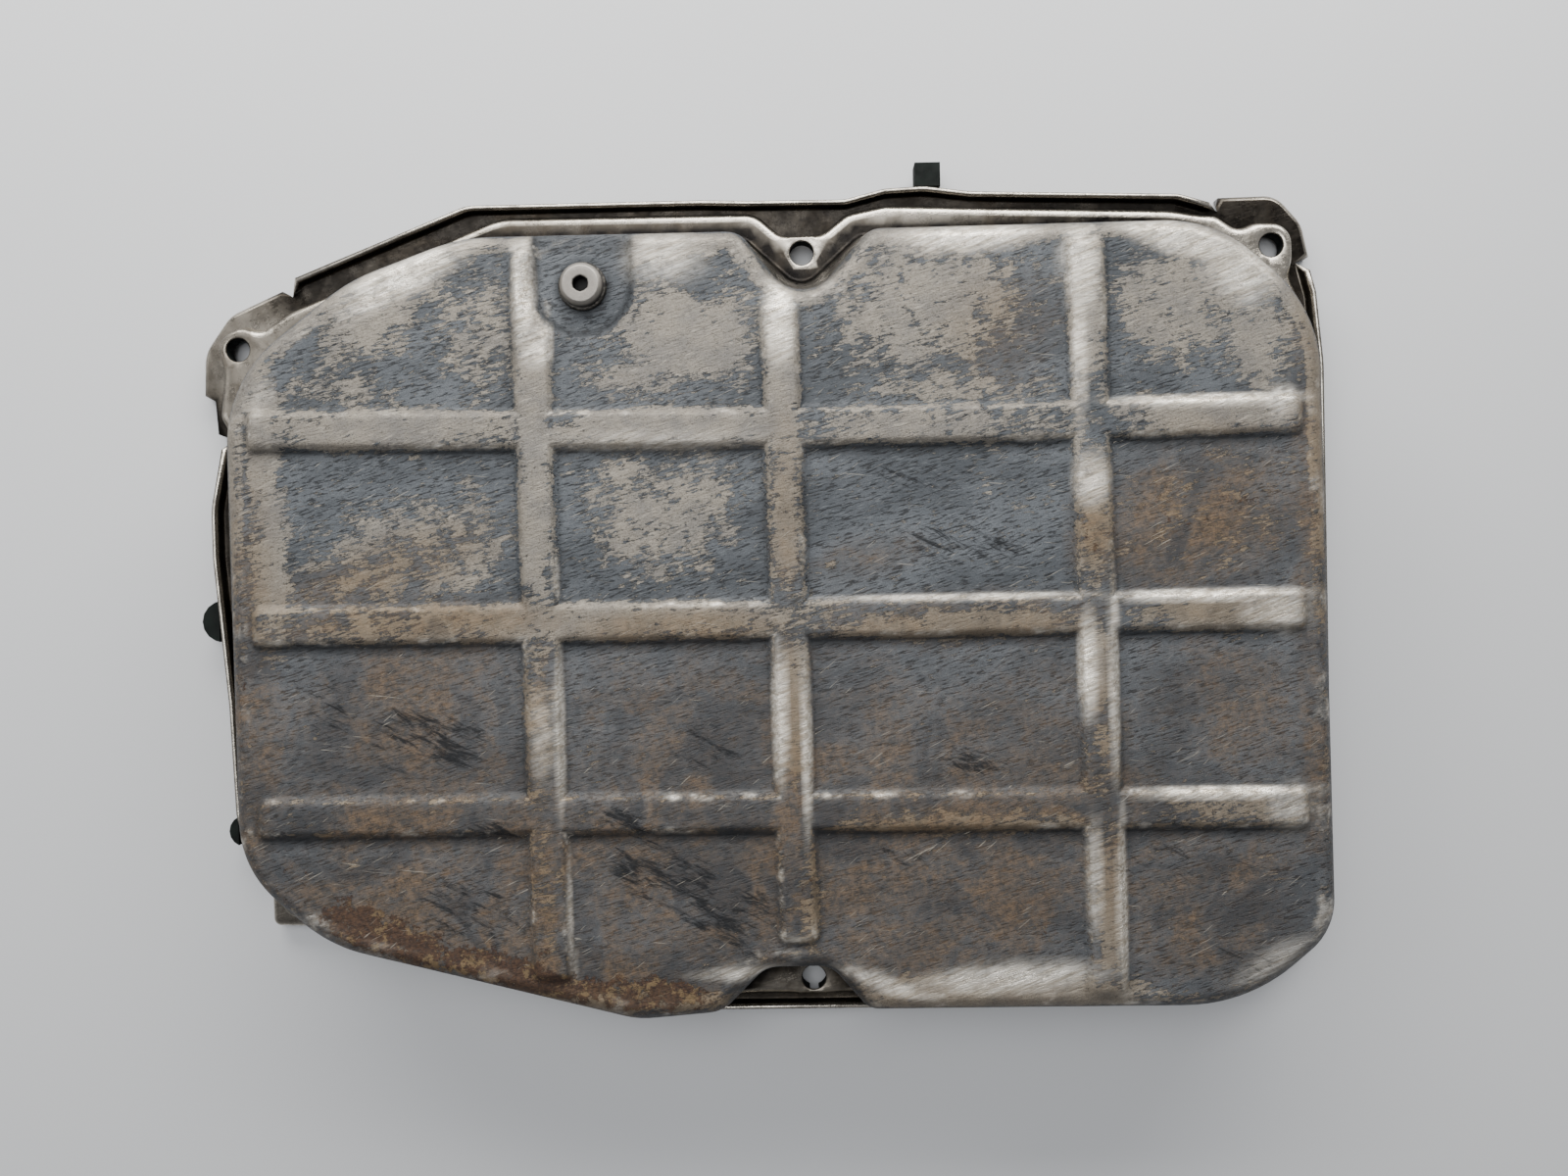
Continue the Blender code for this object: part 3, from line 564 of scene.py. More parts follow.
RUST = [
    (-127, -101, 40, 11, 100, -22), (-84, -114, 48, 10, 100, -14), (-44, -120, 32, 9, 95, -4),
    (-174, -20, 4, 80, 50), (-75, -98, 6, 20, 50), (138, 36, 28, 16, 50, 10), (102, 22, 5, 9, 55),
    (-158, -78, 8, 20, 45, 20), (-10, -106, 20, 5, 45), (150, -100, 26, 16, 30, 30),
    (-100, -70, 40, 14, 28), (10, -84, 8, 26, 40), (80, -105, 26, 10, 40), (-124, 14, 30, 8, 25, 20),
    (-124, -2, 50, 6, 35),
]
SMEAR = [
    (-50, -64, 13, 5, 100, -25), (-36, -82, 30, 12, 85, -22), (62, -47, 14, 6, 100, -12),
    (-90, -66, 12, 5, 90, -10), (-112, -36, 24, 13, 80, -15), (-146, -28, 10, 16, 60),
    (-22, -40, 16, 14, 45), (50, 46, 34, 10, 45), (-14, -96, 22, 18, 70), (-100, -92, 22, 16, 60),
    (62, 24, 30, 8, 60, -8), (130, -80, 34, 8, 55), (36, -76, 16, 5, 60), (-118, -40, 20, 12, 40),
    (150, -110, 20, 12, 35),
]
# Rubbed bare steel, placed and sized to give the painted highlights on the shoulders and the rib tops as
# well.
POLISH_AND_HIGHLIGHT = [
    (64, 123, 24, 6, 100, 3), (132, 121, 22, 6, 100, -18), (-118, 115, 24, 7, 100, 24),
    (-120, 112, 24, 6, 100, 28), (-80, 108, 4, 20, 100), (-74, 90, 6, 8, 95, -40), (3, 98, 6, 16, 100),
    (100, 112, 7, 16, 80), (99, 86, 3, 26, 70), (140, 69, 33, 3, 95), (140, 6.2, 33, 2.6, 100),
    (144, -57, 30, 2.6, 100), (102, 44, 7, 9, 80), (100, -16, 3.5, 18, 100), (108.5, -20, 2, 34, 80),
    (110, -92, 2, 30, 100), (101, -84, 3, 20, 50), (1, -30, 3, 24, 90), (9.5, -40, 2, 30, 80),
    (74, -116, 30, 5, 100, 3), (60, 7, 46, 1.6, 70), (152, 110, 12, 18, 75, -42), (-70, -34, 2, 28, 60),
    (-76, -36, 5, 16, 35), (-67, -92, 2, 22, 70), (2, -114, 30, 3, 80), (160, 0, 12, 7, 70),
    (163, 68, 6, 6, 80), (164, -62, 8, 8, 60), (-34, 118, 14, 12, 50), (16, 124, 14, 6, 50, 20),
    (-167, 74, 4, 10, 30, -20), (34, -118, 16, 3, 70, -20), (-40, 58, 40, 5, 25),
    (158, -112, 16, 5, 25, 30),
]


def paint_attributes(mesh):
    """Stores on each point how worn, grimy, bare, brown, rusty, smeared and polished the steel is there,
    with painted highlights on the worn and polished parts and painted shade with the grime.
    """
    x, y, z = drawn(mesh)
    kind = np.empty(len(mesh.vertices), np.int32)
    mesh.attributes["kind"].data.foreach_get("value", kind)
    panel, shoulder, wall, land, crest, valley, edge = (1.0 * (kind == k) for k in range(7))
    faced = panel + shoulder
    drop = PANEL - z
    depth = rib_depth(x, y)
    pocket = pocket_distance(x, y)
    notch = near_holes(x, y, True, 15, 24)
    ear = near_holes(x, y, False, 12, 26)
    brow = bump_at(z, PANEL - 1.2, 1.5) * shoulder
    rib_edge = bump_at(depth, 1.6, 0.9) * faced
    pocket_edge = bump_at(pocket, 17.8, 0.9) * faced
    lip = smooth(z, LIP_TOP - 1.2, LIP_TOP) * edge
    # Worn, bright edges: the shoulder's brow, the rib and recess edges, the crest and the lip's top. On the
    # brow and the rib and recess edges this is wear and a painted highlight together; on the crest and the
    # lip's top it is a painted highlight.
    wear_and_painted_light = np.maximum.reduce([0.8 * brow * (1 - notch), rib_edge, 0.9 * pocket_edge, crest, lip])
    recess = (1 - smooth(pocket, 15.5, 17.5)) * faced
    # Dirt and painted shade, mostly painted shade: at the rib feet and along the foot below each long rib,
    # at the recess wall and round the seal, in the valley, on the land near the wall, on the outer shoulder
    # and more in the notches, on the wall, and on the lip's inner face. On the flange it is also oily dirt.
    below = np.zeros(len(x))
    for rib in LONG_RIBS:
        foot = long_centre(rib, x) - RIB_HALF
        below = np.maximum(below, bump_at(y, foot - 0.4, 1.1) * (x > rib[0]) * (x < rib[2]))
    rib_foot_dirt_and_shade = bump_at(depth, -0.5, 0.9)
    from_wall = distance_to(outline(WALL_FOOT, 6), x, y)
    grime_and_shade = np.maximum.reduce([
        (0.3 * rib_foot_dirt_and_shade + 0.7 * below * (depth < 1.0)) * faced * (1 - recess),
        bump_at(pocket, 15.6, 1.5) * faced,
        (0.85 - 0.55 * ear * (x < 0)) * valley,
        (1 - 0.9 * smooth(from_wall, 4.5, 8.5)) * land,
        (0.5 + 0.45 * notch) * smooth(drop, 0.9 - 0.6 * notch, 3.2 - 1.6 * notch) * shoulder,
        notch * wall,
        0.9 * smooth(drop - SHOULDER, -1, 9) * wall,
        (0.7 - 0.6 * ear) * edge * (1 - lip),
        0.8 * bump_at(np.hypot(x - PLUG_X, y - PLUG_Y), 8.4, 1.2) * recess,
    ])
    on_rib = smooth(depth, 0.5, 2.0)
    bare = np.maximum(patches(x, y, BARE), (0.16 + 0.2 * on_rib) * (0.25 + 0.75 * smooth(y, -30, 40)))
    bare = np.maximum(bare * (1 - recess) * faced, 0.8 * brow * smooth(y, -20, 60) * (1 - notch))
    bare = bare * (1 - 0.8 * patches(x, y, DARK))
    brown = patches(x, y, BROWN) * faced * (1 - recess)
    rust = patches(x, y, RUST) * faced
    smear = patches(x, y, SMEAR) * faced
    near_rim = 1 - smooth(distance_to(outline(WALL_TOP, 6), x, y), 12, 22)
    polish_and_highlight = patches(x, y, POLISH_AND_HIGHLIGHT) * faced * np.maximum(smooth(depth, -0.8, 0.8), near_rim)
    polish_and_highlight = polish_and_highlight * (1 - 0.8 * smooth(drop, 2.0, 3.8)) * (1 - notch * smooth(drop, 0.5, 2.0))
    # Painted highlights on the crest and the outer land, on the lip's top and on the bend of each ear's
    # rim; the left ear is made a little lighter.
    crest_highlight = np.maximum(crest * bump_at(z, LAND - 0.3, 0.9), 0.7 * smooth(from_wall, 6.0, 9.5) * land)
    crest_highlight = crest_highlight * (0.25 + 0.6 * smooth(y, 60, 125) * smooth(x, -140, 20))
    rim_highlight = bump_at(z, VALLEY - 0.8, 0.9) * edge * ear
    left_ear = 0.18 * ear * (x < 0) * (land + valley)
    polish_and_highlight = np.maximum.reduce([polish_and_highlight, crest_highlight, 0.85 * lip, 0.7 * rim_highlight, left_ear])
    flange = np.maximum(land + crest + valley + edge, smooth(drop - SHOULDER, -1, 6) * wall)
    store(mesh, "wear_and_painted_light", np.clip(wear_and_painted_light, 0, 1), grime_and_shade, polish_and_highlight)
    store(mesh, "zone", bare, brown, rust)
    store(mesh, "extra", smear, flange, recess)
    mesh.attributes.remove(mesh.attributes["kind"])


def near_holes(x, y, in_notch, full, none):
    """How near a point is to a bolt hole in a notch, or in an ear: 1 within full mm, 0 beyond none."""
    near = np.zeros(len(x))
    for hole_x, hole_y in BOLT_HOLES:
        if (abs(hole_x) < NOTCH_SIDE) == in_notch:
            near = np.maximum(near, 1 - smooth(np.hypot(x - hole_x, y - hole_y), full, none))
    return near


def store(mesh, name, red, green, blue):
    """One colour attribute that holds three values for each point."""
    values = np.ones((len(mesh.vertices), 4), np.float32)
    values[:, 0], values[:, 1], values[:, 2] = red, green, blue
    attribute = mesh.attributes.new(name, "FLOAT_COLOR", "POINT")
    attribute.data.foreach_set("color", values.ravel())


def srgb(code):
    """A colour from its six-digit code, in linear light."""
    parts = [int(code[i : i + 2], 16) / 255 for i in (0, 2, 4)]
    linear = [c / 12.92 if c <= 0.04045 else ((c + 0.055) / 1.055) ** 2.4 for c in parts]
    return (*linear, 1.0)


class Look:
    """A node material, built with short calls. Its coordinates are millimetres on the piece itself.

    A value is a number, a colour code or the output of another node.
    """

    def __init__(self, name):
        self.material = bpy.data.materials.new(name)
        self.material.use_nodes = True
        self.tree = self.material.node_tree
        self.shader = self.tree.nodes["Principled BSDF"]
        coords = self.made("ShaderNodeTexCoord", {}, "Object")
        self.mm = self.made("ShaderNodeVectorMath", {0: coords, "Scale": 1000.0}, operation="SCALE")

    def put(self, socket, value):
        if isinstance(value, bpy.types.NodeSocket):
            self.tree.links.new(value, socket)
        else:
            socket.default_value = srgb(value) if isinstance(value, str) else value

    def made(self, kind, inputs, output=0, **settings):
        """One output of a new node, whose inputs are given by name or number."""
        node = self.tree.nodes.new(kind)
        for key, value in settings.items():
            setattr(node, key, value)
        for key, value in inputs.items():
            self.put(node.inputs[key], value)
        return node.outputs[output]

    def combine(self, operation, a, b):
        return self.made("ShaderNodeMath", {0: a, 1: b}, operation=operation)

    add = partialmethod(combine, "ADD")
    times = partialmethod(combine, "MULTIPLY")
    most = partialmethod(combine, "MAXIMUM")
    less = partialmethod(combine, "SUBTRACT")

    def step(self, value, low, high, start=0.0, end=1.0):
        """From start to end as the value goes from low to high, smoothly."""
        inputs = dict(enumerate((value, low, high, start, end)))
        return self.made("ShaderNodeMapRange", inputs, interpolation_type="SMOOTHSTEP")

    def noise(self, scale, detail=3.0, rough=0.5, at=None, warp=0.0):
        inputs = {"Vector": at or self.mm, "Scale": scale, "Detail": detail}
        inputs |= {"Roughness": rough, "Distortion": warp}
        return self.made("ShaderNodeTexNoise", inputs, "Fac")

    def clouds(self, scale, detail, rough, low, high, start=0.0, end=1.0, at=None):
        """Noise that goes from start to end where its level is between low and high."""
        return self.step(self.noise(scale, detail, rough, at), low, high, start, end)

    def along(self, degrees, stretch):
        """Coordinates stretched along a direction, for streaks and scratches."""
        inputs = {"Vector": self.mm, "Rotation": (0, 0, radians(degrees)), "Scale": (stretch, 1, 1)}
        return self.made("ShaderNodeMapping", inputs, vector_type="TEXTURE")

    def mix(self, factor, a, b):
        """A blend of two colours."""
        return self.made("ShaderNodeMix", {0: factor, 6: a, 7: b}, 2, data_type="RGBA")

    def blend(self, factor, a, b):
        """A blend of two numbers."""
        return self.made("ShaderNodeMix", {0: factor, 2: a, 3: b}, data_type="FLOAT")

    def stored(self, name):
        """The three values of a stored attribute."""
        color = self.made("ShaderNodeAttribute", {}, "Color", attribute_name=name)
        return self.made("ShaderNodeSeparateColor", {0: color}, slice(0, 3))

    def bump(self, height, distance):
        """A normal from a height, where distance is the depth of the relief in mm."""
        return self.made("ShaderNodeBump", {"Strength": 1.0, "Distance": distance / 1000, "Height": height})

    def finish(self, color, rough, metal, normal=None):
        inputs = {"Base Color": color, "Roughness": rough, "Metallic": metal}
        for name, value in (inputs | ({"Normal": normal} if normal else {})).items():
            self.put(self.shader.inputs[name], value)
        return self.material


def scratches(look, degrees, rarity, scale, stretch, group_scale=0.05):
    """Fine bright scratches in one direction, in groups."""
    fine = look.noise(scale, 1.0, 0.5, look.along(degrees, stretch))
    where = look.clouds(group_scale, 2.0, 0.5, 0.46, 0.62)
    return look.times(look.step(fine, rarity, rarity + 0.05), where)


def outer_look():
    """The pressing's outer face: paint worn through to steel, with stains, rust, worn bright edges, and
    painted shade and highlights.
    """
    look = Look("worn_pan_paint_with_painted_light")
    mix, blend, step = look.mix, look.blend, look.step
    add, less, times, most = look.add, look.less, look.times, look.most
    look.shader.inputs["Specular IOR Level"].default_value = 0.35
    wear_and_painted_light, grime_and_shade, polish_and_highlight = look.stored("wear_and_painted_light")
    bare, brown, rust = look.stored("zone")
    smear, flange, recess = look.stored("extra")
    clean = less(1, most(flange, recess))

    # Paint flakes: a broken, streaky pattern, cut off at a level that the wear, with its painted edge
    # highlights, moves.
    streaky = look.noise(0.95, 6, 0.74, look.along(13, 4.5), 0.5)
    pattern = blend(0.52, look.noise(0.13, 11, 0.78), streaky)
    level = add(bare, times(wear_and_painted_light, 0.3))
    chance = add(pattern, less(times(level, 0.22), 0.105))
    steel = times(step(chance, 0.488, 0.512, 0, 0.92), clean)
    flake_rim_shadow = times(step(chance, 0.47, 0.494), step(chance, 0.508, 0.497))

    # Paint, with fine dark and light strokes.
    paint = mix(look.clouds(0.05, 4, 0.6, 0.35, 0.65, at=look.along(12, 2.5)), "404448", "5d6165")
    grain = look.noise(2.6, 4, 0.65)
    paint = mix(step(grain, 0.35, 0.7, 0, 0.5), paint, "22262a")
    strokes = look.clouds(1.6, 3, 0.6, 0.52, 0.62, 0, 0.9, look.along(16, 6))
    paint = mix(strokes, paint, "141619")
    light = look.clouds(1.9, 3, 0.6, 0.58, 0.7, 0, 0.42, look.along(17, 7))
    paint = mix(light, paint, "74787a")
    paint = mix(times(brown, 0.4), paint, "3a3733")

    # Bare steel, dull and warm.
    dull = mix(look.clouds(0.09, 6, 0.65, 0.35, 0.68), "8a8377", "74706a")
    dull = mix(look.clouds(1.7, 5, 0.8, 0.47, 0.66, 0, 0.7), dull, "4a443c")
    dull = mix(look.clouds(1.2, 4, 0.7, 0.55, 0.68, 0, 0.6, look.along(20, 6)), dull, "a59e91")
    dull = mix(times(brown, 0.6), dull, "86704f")
    color = mix(steel, paint, dull)
    # Dark rims round the flakes: painted shadow of the paint's edge.
    color = mix(times(flake_rim_shadow, 0.65), color, "1c1d1e")

    # Brown stain, in streaks over both.
    veil = look.noise(0.16, 8, 0.7, look.along(24, 3))
    drift = look.noise(0.04, 4, 0.6, None, 1)
    color = mix(times(brown, step(drift, 0.5, 0.38, 0, 0.6)), color, "1c2127")
    stain = times(brown, step(drift, 0.42, 0.56, 0.3, 1))
    stain = times(stain, step(veil, 0.34, 0.62, 0.45, 1))
    umber = mix(look.clouds(0.35, 8, 0.8, 0.38, 0.62), "352e26", "705a42")
    color = mix(times(stain, 0.8), color, umber)

    # Rust, with crisp edges.
    crust = add(look.noise(0.22, 10, 0.76), times(less(rust, 0.5), 0.4))
    rusty = times(step(crust, 0.56, 0.6), step(rust, 0.05, 0.3))
    red = mix(look.clouds(0.8, 6, 0.75, 0.4, 0.6), "2c1d15", "4c3524")
    color = mix(times(rusty, 0.85), color, red)
    fleck = times(rusty, look.clouds(0.17, 8, 0.74, 0.53, 0.57))
    color = mix(times(fleck, step(rust, 0.4, 0.8, 0, 0.5)), color, "84704f")

    # Black smears, grime and painted shade, and fine dark specks.
    smudge = add(look.noise(0.34, 8, 0.76, look.along(-24, 4.5), 0.4), times(smear, 0.22))
    smeared = times(step(smudge, 0.6, 0.74), step(smear, 0.02, 0.4))
    dirt_and_shade = times(grime_and_shade, look.clouds(0.12, 5, 0.65, 0.25, 0.6, 0.45, 1))
    color = mix(most(times(smeared, 0.9), times(dirt_and_shade, 0.8)), color, "111316")
    color = mix(times(look.clouds(3.4, 3, 0.6, 0.6, 0.68, 0, 0.6), clean), color, "1f1e1d")

    # The flange: smooth oily steel, browner in places, black where its dirt and painted shade sit.
    oily = mix(look.clouds(0.07, 6, 0.65, 0.42, 0.62), "59534a", "463e33")
    oily = mix(look.clouds(0.4, 6, 0.75, 0.5, 0.62, 0, 0.4), oily, "221d19")
    sludge_and_shade = times(grime_and_shade, look.clouds(0.1, 4, 0.5, 0.3, 0.6, 0.75, 1))
    color = mix(flange, color, mix(sludge_and_shade, oily, "0e0c0b"))

    # Worn silver steel and painted highlights, near white, broken up by brushing.
    rubbed_and_highlight = times(polish_and_highlight, look.clouds(0.16, 7, 0.7, 0.34, 0.56, 0.45, 1))
    edge = times(wear_and_painted_light, look.clouds(0.06, 5, 0.65, 0.5, 0.66, 0, 0.7))
    rubbed_and_highlight = most(rubbed_and_highlight, times(edge, step(veil, 0.62, 0.4)))
    rubbed_and_highlight = times(rubbed_and_highlight, less(1, times(rusty, 0.6)))
    rubbed_and_highlight = times(rubbed_and_highlight, less(1, times(smeared, 0.8)))
    brush = blend(flange, look.noise(0.8, 4, 0.7, look.along(22, 14)), 0.5)
    color = mix(rubbed_and_highlight, color, mix(step(brush, 0.35, 0.65), "b5ab9a", "f8f2e6"))
    lines = most(scratches(look, 26, 0.7, 2.2, 26), scratches(look, 40, 0.72, 2.4, 18, 0.09))
    lines = times(most(lines, scratches(look, -6, 0.74, 1.8, 26, 0.07)), clean)
    color = mix(times(lines, 0.4), color, "b5ae9f")

    metal = blend(steel, 0.1, 0.4)
    metal = blend(most(smeared, most(stain, rusty)), metal, 0.03)
    metal = blend(flange, metal, 0.85)
    metal = blend(rubbed_and_highlight, metal, blend(flange, 0.7, 0.95))

    rough = blend(steel, 0.44, 0.5)
    rough = blend(most(times(stain, 0.7), most(rusty, dirt_and_shade)), rough, 0.7)
    rough = blend(smeared, rough, 0.85)
    rough = blend(flange, rough, look.clouds(0.12, 5, 0.7, 0.35, 0.65, 0.24, 0.42))
    rough = blend(rubbed_and_highlight, rough, blend(flange, 0.24, 0.22))
    rough = add(rough, times(less(look.noise(0.5, 6, 0.75), 0.5), 0.4))

    relief = less(times(grain, 0.3), times(steel, 0.5))
    relief = add(relief, times(rusty, 0.7))
    relief = less(relief, times(strokes, 0.6))
    relief = add(relief, times(streaky, 1.4))
    relief = times(relief, less(1, times(flange, 0.8)))
    return look.finish(color, rough, metal, look.bump(relief, 0.13))


def inner_look():
    """The pressing's inner face: steel with a thin varnish of old oil."""
    look = Look("oily_pan_inside")
    color = look.mix(look.clouds(0.02, 4, 0.6, 0.35, 0.68), "6f6a61", "4a3a26")
    color = look.mix(look.clouds(0.5, 6, 0.7, 0.5, 0.75, 0, 0.6), color, "2a231b")
    rough = look.clouds(0.06, 4, 0.5, 0.3, 0.7, 0.22, 0.5)
    return look.finish(color, rough, 0.7, look.bump(look.noise(1.1, 4, 0.6), 0.05))


def cloudy_look(name, clouds, colors, sheen_scale, roughs, metal, grain_scale):
    """Metal of two colours in clouds, uneven in gloss, with a fine grain."""
    look = Look(name)
    color = look.mix(look.clouds(*clouds, 0.4, 0.65), *colors)
    rough = look.clouds(sheen_scale, 4, 0.5, 0.3, 0.7, *roughs)
    return look.finish(color, rough, metal, look.bump(look.noise(grain_scale, 4), 0.06))


def rubber_look():
    look = Look("gasket_rubber_look")
    color = look.mix(look.clouds(0.25, 5, 0.65, 0.4, 0.7), "0a0e0c", "161c19")
    rough = look.clouds(0.5, 5, 0.7, 0.3, 0.7, 0.7, 0.95)
    look.shader.inputs["Specular IOR Level"].default_value = 0.2
    return look.finish(color, rough, 0, look.bump(look.noise(3, 4, 0.6), 0.05))


def plug_look():
    """Dull zinc with rolled grain, with painted shade in the socket, on the shank and at the head's foot.
    """
    look = Look("dull_zinc_with_painted_shade")
    painted_shade, polished, _ = look.stored("wear_and_painted_light")
    color = look.mix(look.noise(0.8, 5, 0.7), "75716b", "918c85")
    color = look.mix(look.clouds(4, 3, 0.7, 0.45, 0.7, 0, 0.45), color, "6b6761")
    color = look.mix(look.times(polished, 0.5), color, "b5b1a9")
    color = look.mix(painted_shade, color, "15130f")
    rough = look.blend(painted_shade, look.clouds(1.6, 4, 0.7, 0.3, 0.7, 0.38, 0.6), 0.6)
    return look.finish(color, rough, look.blend(painted_shade, 0.8, 0.3), look.bump(look.noise(3.2, 4, 0.65), 0.08))


def magnet_look():
    """Black ferrite furred with fine grey steel swarf."""
    look = Look("ferrite_and_swarf")
    grit = look.noise(2.6, 6, 0.75)
    fur = look.step(grit, 0.5, 0.6)
    color = look.mix(fur, "26262a", "6c6a66")
    return look.finish(color, look.blend(fur, 0.4, 0.7), look.blend(fur, 0.2, 0.6), look.bump(grit, 0.25))


def in_scene(name, data):
    """A new object in the scene."""
    obj = bpy.data.objects.new(name, data)
    bpy.context.scene.collection.objects.link(obj)
    return obj


def add(name, mesh, body, slot, looks, sharp=None):
    """A visible piece that rides on a body, smooth but for edges sharper than an angle in degrees."""
    obj = in_scene(name, mesh)
    for look in looks:
        mesh.materials.append(look)
    mesh.shade_smooth()
    if sharp:
        mesh.set_sharp_from_angle(angle=radians(sharp))
    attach(obj, body)
    return obj


def positions(mesh):
    """The mesh's points as rows, in the frame's metres."""
    co = np.empty(len(mesh.vertices) * 3)
    mesh.vertices.foreach_get("co", co)
    return co.reshape(-1, 3)


def drawn(mesh):
    """The x, y and z of the mesh's points in the drawing, mm, as three arrays."""
    return positions(mesh).T * 1000 + np.array(ORIGIN)[:, None]


def add_shell():
    mesh = make_sheet()
    paint_attributes(mesh)
    shell = add("pan_shell_skin", mesh, "pan", "pan_sheet", [outer_look(), inner_look()], 50)
    solidify = shell.modifiers.new("sheet", "SOLIDIFY")
    solidify.thickness = SHEET / 1000
    solidify.offset = -1
    solidify.use_even_offset = True
    solidify.material_offset = 1
    # The sheet's thickness becomes part of the mesh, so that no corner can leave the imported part's box.
    graph = bpy.context.evaluated_depsgraph_get()
    solid = bpy.data.meshes.new_from_object(shell.evaluated_get(graph), depsgraph=graph)
    shell.modifiers.clear()
    shell.data = solid
    solid.vertices.foreach_set("co", np.clip(positions(solid), CAD_BOX[0], CAD_BOX[1]).ravel())
    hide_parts("pan_shell")


def turned(name, x, y, profile, count, closed=True):
    """A turned solid about the vertical line at x, y, from a profile of (radius, z). Where the shape
    isn't round, the radius is a function of the angle. A profile that isn't closed is capped."""
    mesh = bmesh.new()
    angles = [2 * pi * k / count for k in range(count)]
    loops = []
    for radius, z in profile:
        radii = [(a, radius(a) if callable(radius) else radius) for a in angles]
        loops.append([mesh.verts.new(place(x + r * cos(a), y + r * sin(a), z)) for a, r in radii])
    for a, b in pairwise([*loops, loops[0]] if closed else loops):
        for i in range(count):
            mesh.faces.new((a[i - 1], b[i - 1], b[i], a[i]))
    if not closed:
        mesh.faces.new(loops[0])
        mesh.faces.new(loops[-1][::-1])
    bmesh.ops.recalc_face_normals(mesh, faces=mesh.faces)
    out = bpy.data.meshes.new(name)
    mesh.to_mesh(out)
    mesh.free()
    return out


def hexagon(across, rounding=0.0):
    """The radius of a hexagon by angle; rounding pulls its corners in."""

    def radius(angle):
        off = (angle + pi / 6) % (pi / 3) - pi / 6
        return across / 2 / cos(off) * (1 - rounding * (1 - cos(6 * off)) / 2)

    return radius


# The fittings: heights in the drawing, radii and lengths, mm, and the sides of a turned piece.
SEAT = PANEL - POCKET_DEPTH
SEAL_LOW = SEAT + GAP
SEAL_HIGH = SEAL_LOW + 1.4
HEAD_LOW = SEAL_HIGH + GAP
HEAD_HIGH = HEAD_LOW + 3.5
COLLAR = 7.0
SHANK = 4.92
SHANK_LENGTH = 9.0
PITCH = 1.0
SOCKET = 5.0
NUT_ACROSS = 15.0
NUT_HEIGHT = 6.5
SIDES = 72


def thread(major, depth, start, end, rows, low, high):
    """The rows of a screw thread's profile, from start to end; the thread runs out at low and high."""

    def row(z):
        fade = float(smooth(z, low, low + 0.7) * (1 - smooth(z, high - 0.9, high)))

        def radius(angle):
            phase = (z / PITCH - angle / (2 * pi)) % 1
            groove = min(1.0, max(0.0, 1.25 - 2.5 * abs(phase - 0.5)))
            return major - depth * groove * fade

        return radius, z

    return [row(start + (end - start) * k / rows) for k in range(rows + 1)]


def add_plug():
    """The drain plug: a low bevelled head with a worn hexagon socket, and a threaded shank."""
    bottom = HEAD_LOW - SHANK_LENGTH
    top = HEAD_LOW - 0.05
    socket = hexagon(SOCKET, 0.05)
    mouth = hexagon(SOCKET - 0.02, 0.07)
    # The socket from its floor up, then the head outwards: radius and depth below the head's top.
    head = [(2.6, 4.98), (socket, 4.3), (socket, 2.0), (socket, 0.5), (mouth, 0.22)]
    head += [(lambda a: mouth(a) + 0.25, 0.04), (lambda a: mouth(a) + 0.6, 0), (4.4, 0), (5.5, 0)]
    head += [(5.75, 0.05), (5.95, 0.2), (6.7, 0.85), (6.92, 1.1), (COLLAR, 1.45)]
    profile = [(radius, HEAD_HIGH - drop) for radius, drop in head]
    profile += [(COLLAR, HEAD_LOW + 0.35), (6.9, HEAD_LOW + 0.1), (6.6, HEAD_LOW), (5.1, HEAD_LOW)]
    profile += thread(SHANK, 0.5, top, bottom + 0.7, 84, bottom + 0.5, top)
    profile += [(SHANK - 0.3, bottom + 0.35), (SHANK - 0.75, bottom), (2.0, bottom)]
    mesh = turned("drain_plug_body", PLUG_X, PLUG_Y, profile, SIDES, closed=False)
    x, y, z = drawn(mesh)
    out = np.hypot(x - PLUG_X, y - PLUG_Y)
    # Painted shade: in the socket, on the shank below the head and round the head's foot by the seal.
    painted_shade = (out < 3.4) * smooth(HEAD_HIGH - z, 0.01, 0.3) + 0.9 * (out < 5.2) * (z < HEAD_LOW)
    painted_shade = np.maximum(painted_shade, 0.75 * bump_at(z, HEAD_LOW + 0.2, 0.7) * (out > 6.0))
    edge = bump_at(out, 5.8, 0.25) * (z > HEAD_HIGH - 0.5)
    store(mesh, "wear_and_painted_light", np.clip(painted_shade, 0, 1), edge, 0)
    plug = add("drain_plug_body", mesh, "plug", "plug_steel", [plug_look()], 35)
    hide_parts("drain_plug")


def add_seal():
    half = [(5.1, 0.3), (5.25, 0.06), (5.5, 0), (7.4, 0), (7.75, 0.12), (7.9, 0.45)]
    profile = [(radius, SEAL_LOW + inset) for radius, inset in half]
    profile += [(radius, SEAL_HIGH - inset) for radius, inset in reversed(half)]
    mesh = turned("seal", PLUG_X, PLUG_Y, profile, SIDES)
    look = cloudy_look("dark_seal_ring", (0.9, 5, 0.7), ("1b1916", "4f4b45"), 1.2, (0.35, 0.65), 0.5, 2.4)
    seal = add("drain_plug_seal_ring", mesh, "seal", "seal_ring", [look])
    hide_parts("drain_plug_seal")


